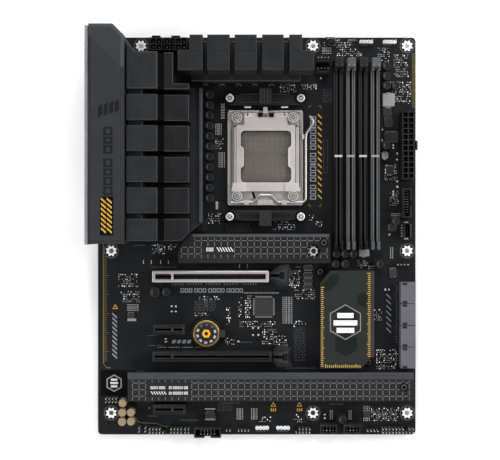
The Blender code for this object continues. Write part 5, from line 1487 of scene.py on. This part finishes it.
def small_parts():
    """Resistors, capacitors, via holes, faint marks and small chips, drawn in a fixed random order."""
    dice = random.Random(7)
    metal, bodies, dots = Shape(), Shape(), Shape()

    def chip_part(x, y, length, width, upright, tone):
        end = length * 0.28
        for side in (-1, 1):
            a = side * (length / 2 - end / 2)
            if upright:
                metal.box(x - width / 2, x + width / 2, y + a - end / 2, y + a + end / 2, 0.01, 0.4)
            else:
                metal.box(x + a - end / 2, x + a + end / 2, y - width / 2, y + width / 2, 0.01, 0.4)
        run = length - 2 * end + 0.02
        if upright:
            bodies.block(x, y, width * 0.46, run / 2, 0.02, 0.36, ink=tone)
        else:
            bodies.block(x, y, run / 2, width * 0.46, 0.02, 0.36, ink=tone)

    for x0, y0, x1, y1 in CROWDED:
        y = y0 + 0.6
        row_pitch = dice.choice((1.55, 1.8))
        while y < y1:
            x = x0 + 0.5
            upright = dice.random() < 0.5
            while x < x1:
                draw = dice.random()
                if draw < 0.3:
                    chip_part(x, y, 1.3, 0.66, upright, 1 if draw < 0.1 else 0)
                elif draw < 0.58:
                    size = dice.choice((0.3, 0.36, 0.48))
                    # Some dots are near white vias: painted highlight.
                    dots.turned(x, y + dice.uniform(-0.3, 0.3), [(size, 0.01), (size, 0.06)], 8, 5)
                elif draw < 0.66:
                    dots.block(x, y, 0.8, 0.15, 0.01, 0.035, ink=2)
                x += dice.choice((1.15, 1.5) if upright else (1.7, 2.1))
            y += row_pitch
    for x0, y0, x1, y1 in BANKS:
        upright = y1 - y0 < x1 - x0
        step_x, step_y = (1.5, 2.6) if upright else (2.6, 1.5)
        x = x0 + step_x / 2
        while x < x1:
            y = y0 + step_y / 2
            while y < y1:
                chip_part(x, y, 2.2, 1.1, upright, dice.choice((0, 0, 1)))
                y += step_y
            x += step_x
    for x0, y0, x1, y1 in FAINT:
        y = y0
        while y < y1:
            x = x0 + dice.random()
            while x < x1 - 1:
                run = dice.uniform(0.6, 2.4)
                dots.box(x, min(x1, x + run), y, y + 0.35, 0.01, 0.035, ink=1)
                x += run + dice.uniform(0.5, 1.4)
            y += 1.2
    for x, y in DOTS:
        dots.turned(x, y, [(0.75, 0.01), (0.75, 0.12), (0.5, 0.3)], 14)
    # Rows of through-hole joints beside the card slots.
    for row, start, count, pitch in ((-37.0, -64.7, 34, 2.0), (-67.8, -76.4, 14, 1.45),
                                     (-85.5, -75.8, 24, 1.45)):
        for k in range(count):
            if k % 7 != 5:
                dots.turned(start + k * pitch, row, [(0.42, 0.01), (0.42, 0.1)], 10, 2 if row == -37.0 else 0)
    # White halves of polarity rings.
    for x, y in ((-84.0, -20.0), (-70.8, -20.0), (-10.3, -23.4)):
        for side in (-1, 1):
            arc = [(x + side * (2.4 + 0.75 * math.cos(t)), y + 1.5 * math.sin(t), 0.05)
                   for t in (-1.3 + 0.26 * k for k in range(11))]
            dots.tube(arc, 0.22, 6, 3)
    for k in range(6):
        arc = [(-39.2 + 12.6 * k + 1.9 * math.cos(t), 115.2 + 1.3 * math.sin(t), 0.1)
               for t in (math.pi * m / 8 for m in range(9))]
        dots.tube(arc, 0.28, 6, 4)
    piece("small_part_ends", metal, ["solder"])
    piece("small_part_bodies", bodies, ["chip_black", "ceramic_brown"])
    piece("solder_points", dots,
          ["solder", "print_faint", "print_grey", "print_white", "print_grey", "pad_silver_painted_highlight"])
    leaded = Shape()
    for x, y, w, l in SMALL_CHIPS:
        leaded.block(x, y, w / 2, l / 2, 0.1, 1.1, 0.15)
        leaded.turned(x - w / 2 + 0.8, y + l / 2 - 0.8, [(0.3, 1.08), (0.3, 1.12)], 10, 2)
        count = max(3, int(max(w, l) / 0.9))
        for k in range(count):
            d = (k - (count - 1) / 2) * 0.8 * max(w, l) / count
            for side in (-1, 1):
                if w >= l:
                    leaded.box(x + d - 0.18, x + d + 0.18, y + side * (l / 2 - 0.1), y + side * (l / 2 + 0.7),
                               0.02, 0.3, ink=1)
                else:
                    leaded.box(x + side * (w / 2 - 0.1), x + side * (w / 2 + 0.7), y + d - 0.18, y + d + 0.18,
                               0.02, 0.3, ink=1)
    piece("small_chips", leaded, ["chip_black", "solder", "print_grey"])


def cans_and_chokes():
    """Capacitor cans, chokes and resistor strips."""
    cans = Shape()

    def can(x, y, r, height, body, top, base=3):
        cans.slab([(x - r - 0.2, y - r - 0.2), (x + r * 0.55, y - r - 0.2), (x + r + 0.2, y - r * 0.55),
                   (x + r + 0.2, y + r * 0.55), (x + r * 0.55, y + r + 0.2), (x - r - 0.2, y + r + 0.2)],
                  0.02, 1.0, 0.2, ink=base)
        cans.turned(x, y, [(r * 0.94, 0.9), (r, 1.4), (r, 1.9), (r * 0.93, 2.3), (r, 2.7), (r, height - 0.5),
                           (r * 0.93, height)], 32, body, lid=body)
        cans.turned(x, y, [(r * 0.84, height - 0.05), (r * 0.82, height + 0.06)], 32, top)
        cans.slab([(x - r * 0.8, y - r * 0.12), (x - r * 0.35, y - r * 0.72), (x - r * 0.35, y + r * 0.72),
                   (x - r * 0.8, y + r * 0.12)], height + 0.03, height + 0.1, ink=body)
    for x, y in CANS:
        can(x, y, 3.0, 7.0, 0, 1)
    can(-77.6, -42.7, 3.8, 8.0, 0, 1)
    for x, y in CAN_COLUMN:
        can(x, y, 2.95, 7.0, 0, 1)
    for x, y in AUDIO_CANS:
        can(x, y, 3.1, 7.5, 2, 2)
    piece("capacitor_cans", cans, ["can_black", "can_lid", "pale_gold", "black_plastic"])
    chokes = Shape()
    for x, y, w, l, h in ((100.7, 104.1, 9.2, 10.2, 4.0), (98.1, 61.7, 5.2, 5.0, 3.0),
                          (82.0, -12.9, 8.0, 5.5, 3.5)):
        chokes.slab(rounded(rectangle(x - w / 2, x + w / 2, y - l / 2, y + l / 2), 0.8, 3), 0.3, h, 0.35)
        chokes.box(x - w * 0.2, x + w * 0.2, y - l / 2 - 0.8, y - l / 2 + 0.1, 0.02, 1.2, ink=1)
        chokes.box(x - w * 0.2, x + w * 0.2, y + l / 2 - 0.1, y + l / 2 + 0.8, 0.02, 1.2, ink=1)
    piece("power_chokes", chokes, ["choke_silver", "solder"], bevel=0.1)
    strip = Shape()
    for k in range(6):
        y = 90.0 + 2.05 * k
        strip.box(-27.4, -24.6, y, y + 1.35, 0.02, 0.6, 0.1)
        strip.box(-27.4, -26.9, y, y + 1.35, 0.02, 0.65, ink=1)
        strip.box(-25.1, -24.6, y, y + 1.35, 0.02, 0.65, ink=1)
    strip.box(-99.2, -92.6, -65.3, -63.3, 0.02, 1.0, 0.1, ink=1)
    for y in (-133.3, -139.4, -141.4):
        strip.box(-39.7, -31.9, y, y + 1.1, 0.02, 0.6, 0.1, ink=1)
    strip.box(-31.6, -29.8, 20.5, 26.5, 0.02, 0.8, 0.1, ink=1)
    piece("resistor_strips", strip, ["resistor_tan", "solder"])


def pin_headers():
    """Bare pin headers, shrouded headers, light headers and fan headers."""
    base, pins = Shape(), Shape()

    def grid(x0, y0, columns, rows, height=8.4, gap=()):
        for i in range(columns):
            for j in range(rows):
                if (i, j) in gap:
                    continue
                x, y = x0 + i * PIN_PITCH, y0 + j * PIN_PITCH
                base.slab([(x - 1.2, y - 0.7), (x - 0.7, y - 1.2), (x + 0.7, y - 1.2), (x + 1.2, y - 0.7),
                           (x + 1.2, y + 0.7), (x + 0.7, y + 1.2), (x - 0.7, y + 1.2), (x - 1.2, y + 0.7)],
                           0.02, 2.5)
                pins.block(x, y, PIN_HALF, PIN_HALF, 0.1, height, 0.2)
    edge = HEADER_ROW
    grid(-81.5, edge, 5, 2, gap=((4, 1),))
    grid(-65.2, edge, 4, 2)
    grid(-54.6, edge, 2, 2)
    grid(-89.4, edge + 0.9, 1, 2)
    grid(-84.7, edge + 0.9, 1, 2)
    grid(-14.0, edge + 1.4, 4, 1)
    grid(-23.0, edge + 1.4, 2, 1)
    grid(30.0, edge, 5, 2, gap=((0, 1),))
    grid(84.2, edge + 1.2, 4, 1)
    grid(95.8, edge, 10, 2, gap=((7, 1),))
    grid(-114.6, -126.2, 4, 2)
    grid(107.6, -21.9, 4, 1, 6.0)
    piece("pin_header_bases", base, ["black_plastic"], bevel=0.05)
    piece("pin_header_pins", pins, ["solder"])
    shrouds, posts = Shape(), Shape()

    def shroud(x0, x1, y0, y1, h, columns, notch, wall=1.1):
        xs, ys = [x0, x1, x0 + wall, x1 - wall], [y0, y1, y0 + wall, y1 - wall]
        middle = (x0 + x1) / 2
        xs += [middle - notch, middle + notch]

        def level(x, y):
            inside = x0 + wall < x < x1 - wall and y0 + wall < y < y1 - wall
            if inside:
                return 1.4
            return 3.0 if y < y0 + wall and abs(x - middle) < notch else h
        # The inside takes the near black floor ink: painted shade.
        shrouds.terrace(xs, ys, level, base=0.02, floor=1)
        for i in range(columns):
            for j in (0, 1):
                x = middle + (i - (columns - 1) / 2) * PIN_PITCH
                y = (y0 + y1) / 2 + (j - 0.5) * PIN_PITCH
                posts.block(x, y, PIN_HALF, PIN_HALF, 1.3, h - 1.5, 0.2)
    shroud(-47.6, -27.2, -152.9, -145.4, 9.0, 5, 2.3)
    shroud(47.9, 60.9, -149.9, -142.9, 8.8, 4, 1.6)
    shroud(65.7, 78.7, -149.9, -142.9, 8.8, 4, 1.6)
    piece("header_shrouds", shrouds, ["black_plastic", "black_and_painted_shade"], bevel=0.15)
    piece("header_posts", posts, ["solder"])
    lights, light_pins = Shape(), Shape()
    for x, y in ((83.7, 148.6), (101.7, 148.6), (4.1, -146.9), (20.1, -146.9)):
        lights.block(x, y, 5.0, 1.0, 0.02, 3.0, 0.2)
        for k in range(4):
            u = x + (k - 1.5) * 2.6
            lights.turned(u, y, [(1.35, 0.02), (1.35, 2.9), (1.15, 3.15)], 20)
            light_pins.block(u, y, PIN_HALF, PIN_HALF, 3.0, 8.4, 0.2)
    piece("light_headers", lights, ["white_plastic"], bevel=0.1)
    piece("light_header_pins", light_pins, ["solder"])
    fans, fan_pins = Shape(), Shape()
    for x, y, w in ((50.4, 135.0, 10.2), (50.4, 126.8, 10.2), (56.3, 149.6, 6.4)):
        count = 4 if w > 8 else 3
        fans.block(x, y, w / 2, 2.7, 0.02, 2.6, 0.2)
        fans.box(x - w / 2 + 1, x + w / 2 - 1, y - 2.7, y - 1.6, 2.5, 9.0, 0.2)
        for k in range(count):
            u = x + (k - (count - 1) / 2) * min(PIN_PITCH, w / count)
            fan_pins.box(u - 0.3, u + 0.3, y + 0.2, y + 0.8, 2.5, 8.6, 0.2)
    piece("fan_headers", fans, ["black_plastic"], bevel=0.12)
    piece("fan_header_pins", fan_pins, ["solder"])


def printing():
    """Marks printed on the board: rulers, hatching, outlines, and plain bars in the place of any wording."""
    ink = Shape()
    white, grey, faint, amber, olive, black = range(6)
    lo, hi = 0.015, 0.05

    def bar(x0, x1, y0, y1, tone, lift=0.0):
        ink.box(x0, x1, y0, y1, lo + lift, hi + lift, ink=tone)

    def slash(x0, x1, y0, y1, thick, tone):
        ink.slab([(x0, y1 - thick), (x1, y0), (x1, y0 + thick), (x0, y1)], lo, hi, ink=tone)

    def outline(x0, x1, y0, y1, tone, w=0.25):
        ink.frame(rectangle(x0, x1, y0, y1), rectangle(x0 + w, x1 - w, y0 + w, y1 - w), lo, hi, ink=tone)
    left = -HALF_WIDTH
    # The ruler that runs down the left edge and turns in at its foot.
    bar(left + 3.8, left + 4.5, -98.0, -6.0, olive)
    for k in range(56):
        y = -16.0 - 1.46 * k
        bar(left + 4.5, left + (8.4 if k % 10 == 0 else 6.8), y, y + 0.4, olive)
    ink.slab([(left + 3.8, -98.0), (left + 6.4, -101.0), (left + 7.2, -101.0), (left + 4.5, -98.0)], lo, hi,
             ink=olive)
    bar(left + 6.4, left + 9.6, -101.6, -100.9, olive)
    for k in range(46):
        y = 98.6 + 0.92 * k
        bar(119.0, 121.5 if k % 5 else 121.7, y, y + 0.4, olive)
    for k in range(14):
        y = -92.0 + 3.45 * k
        if y < -58:
            slash(-110.9, -107.3, y - 2.6, y + 2.2, 1.5, grey)
    for k in range(7):
        y = -72.6 + 4.35 * k
        slash(99.5, 103.1, y - 2.2, y + 2.4, 1.0, grey)
    # Amber hatching beside the socket, with its corner marks.
    for k in range(14):
        y = 29.5 + 4.76 * k
        slash(46.9, 49.8, y - 1.4, y + 2.7, 1.35, amber)
    for x, sx in ((39.9, 1), (49.5, -1)):
        for y, sy in ((22.5, 1), (100.3, -1)):
            bar(x, x + sx * 2.2, y, y + sy * 0.6, olive)
            bar(x, x + sx * 0.6, y, y + sy * 2.2, olive)
    # Plain bars in the place of wording.
    y = 28.0
    for k, run in enumerate((3.2, 3.2, 3.2, 0, 3.2, 3.2, 3.6, 1.4, 3.2, 3.2, 0, 3.2, 3.2, 3.2, 3.2, 1.4, 3.2,
                             3.2)):
        if run:
            outline(41.0, 45.6, y, y + run, grey, 0.75)
            y += run + 0.85
        else:
            y += 1.6
    x = -58.6
    for run in (3.0, 2.6, 2.6, 0, 2.6, 3.0, 2.6, 0, 3.0, 2.6, 3.0, 2.6, 0, 2.6, 3.0, 3.0, 2.6):
        if run:
            outline(x, x + run, -43.4, -40.2, grey, 0.65)
            x += run + 0.45
        else:
            x += 1.1
    for k in range(4):
        x = -65.4 + 3.9 * k
        ink.slab([(x, -82.4), (x + 2.6, -82.4), (x + 3.6, -79.8), (x + 1.0, -79.8)], lo, hi, ink=grey)
    for k in range(14):
        x = -10.1 + 1.95 * k
        bar(x, x + 1.5, -44.1, -43.3, grey)
    # Small faint legends, drawn as broken bars.
    for x0, y0, count in ((-81.6, -24.3, 15), (-84.3, -76.9, 6), (-83.5, -84.5, 9), (-83.6, -138.6, 6),
                          (-59.4, -141.8, 11), (77.6, -30.3, 6), (79.0, 146.0, 5), (97.0, 146.0, 5),
                          (-1.0, -150.4, 6), (16.0, -150.4, 6), (-94.9, -7.6, 7), (56, -129.4, 8),
                          (-12.6, -81.9, 7), (31.5, -151.4, 7), (-28.6, -128.6, 12)):
        for k in range(count):
            bar(x0 + 1.35 * k, x0 + 1.35 * k + (0.95 if k % 4 else 0.6), y0, y0 + 0.75, faint)
    outline(51.2, 54.6, 48.3, 73.6, faint, 0.2)
    outline(22.5, 46.0, -101.8, -101.0, faint, 0.2)
    for x, y in ((-108.7, -54.3), (12.7, -129.3), (32.8, -129.3)):
        a = [(x - 2.1, y - 1.7), (x + 2.1, y - 1.7), (x, y + 2.0)]
        ink.frame(a, inset(a, 0.5), lo, hi, ink=amber)
    for x in (12.7, 32.8):
        for k in range(3):
            bar(x - 2.0 + 1.6 * k, x - 1.2 + 1.6 * k, -134.6, -132.4, amber)
    bar(-83.0, -82.1, -132.6, -131.7, amber)
    # A bare gold track along the audio part of the board.
    path = [(-92.6, -141.2), (-90.3, -143.2), (-77.5, -144.0), (-74.5, -145.0), (-68.6, -146.6)]
    for a, b in zip(path, path[1:]):
        a, b = Vector(a), Vector(b)
        across = (b - a).normalized().orthogonal() * 0.28
        ink.slab([tuple(a - across), tuple(b - across), tuple(b + across), tuple(a + across)][::-1], lo, hi,
                 ink=olive)
    # The black square at the lower left with its plain mark.
    ink.box(-119.8, -99.3, -123.1, -103.1, lo, 0.12, ink=black)
    ink.frame(hexagon(-109.5, -113.0, 6.8), hexagon(-109.5, -113.0, 5.6), 0.1, 0.16, ink=grey)
    for k in range(3):
        half = 3.0 if k == 1 else 2.4
        ink.box(-109.5 - half, -109.5 + half, -111.1 - 2.6 * k, -109.5 - 2.6 * k, 0.1, 0.16, ink=white)
    piece("board_printing", ink,
          ["print_white", "print_grey", "print_faint", "print_amber", "print_olive", "black_and_painted_shade"])


# ------------------------------------------------------------ camera, light

# The point of the board under the camera, and the camera's height over its face, in millimetres.
VIEW_MIDDLE, VIEW_DISTANCE = (-5.2, 4.6), 640


def stage():
    """The pale floor under the backplate, the camera over the board, four soft lights and a studio sky."""
    floor = bpy.data.meshes.new("floor")
    reach, clearance = 1.0, 0.0031
    low = BOARD_LOW.z - clearance
    floor.from_pydata([(-reach, -reach, low), (reach, -reach, low), (reach, reach, low),
                       (-reach, reach, low)], [], [[0, 1, 2, 3]])
    made = bpy.data.objects.new("floor", floor)
    bpy.context.scene.collection.objects.link(made)
    material = finish("floor_pale", (0.93, 0.93, 0.93), 0.9, spread=0.01, grain=300, relief=0.02,
                      specular=0.0)
    floor.materials.append(material)
    camera = bpy.data.objects.new("camera", bpy.data.cameras.new("camera"))
    camera.data.lens = 60
    camera.data.sensor_width = 36
    camera.location = at(*VIEW_MIDDLE, VIEW_DISTANCE)
    bpy.context.scene.collection.objects.link(camera)
    bpy.context.scene.camera = camera
    for name, (x, y, z), size, power in (("light_right", (1.1, 0.25, 0.72), 0.8, 12.0),
                                         ("light_left", (-1.1, -0.1, 0.72), 0.8, 8.0),
                                         ("light_top", (0.1, 1.1, 0.75), 0.8, 12.0),
                                         ("light_bottom", (-0.1, -1.1, 0.72), 0.8, 8.0)):
        lamp = bpy.data.lights.new(name, "AREA")
        lamp.shape = "DISK"
        lamp.size = size
        lamp.energy = power
        made = bpy.data.objects.new(name, lamp)
        made.location = (x, y, z)
        made.rotation_euler = (-made.location).to_track_quat("-Z", "Y").to_euler()
        bpy.context.scene.collection.objects.link(made)
    world = bpy.data.worlds.new("studio")
    world.use_nodes = True
    tree = world.node_tree
    back = tree.nodes["Background"]
    place = node(tree, "TexCoord")
    split = node(tree, "SeparateXYZ")
    ramp = node(tree, "ValToRGB")
    ramp.color_ramp.elements[0].position = 0.0
    ramp.color_ramp.elements[0].color = (0.95, 0.95, 0.95, 1)
    ramp.color_ramp.elements[1].position = 0.75
    ramp.color_ramp.elements[1].color = (0.12, 0.12, 0.12, 1)
    tree.links.new(place.outputs["Generated"], split.inputs["Vector"])
    tree.links.new(split.outputs["Z"], ramp.inputs["Fac"])
    tree.links.new(ramp.outputs["Color"], back.inputs["Color"])
    back.inputs["Strength"].default_value = 1.0
    bpy.context.scene.world = world
    bpy.context.scene.view_settings.view_transform = "Standard"


board()
traces()
small_parts()
cans_and_chokes()
pin_headers()
printing()
io_cover()
left_heatsink()
top_heatsink()
m2_covers()
chipset()
socket()
brackets()
power()
dimm_slots()
expansion()
headers()
battery()
processor_chip()
rear()
underside()
stage()
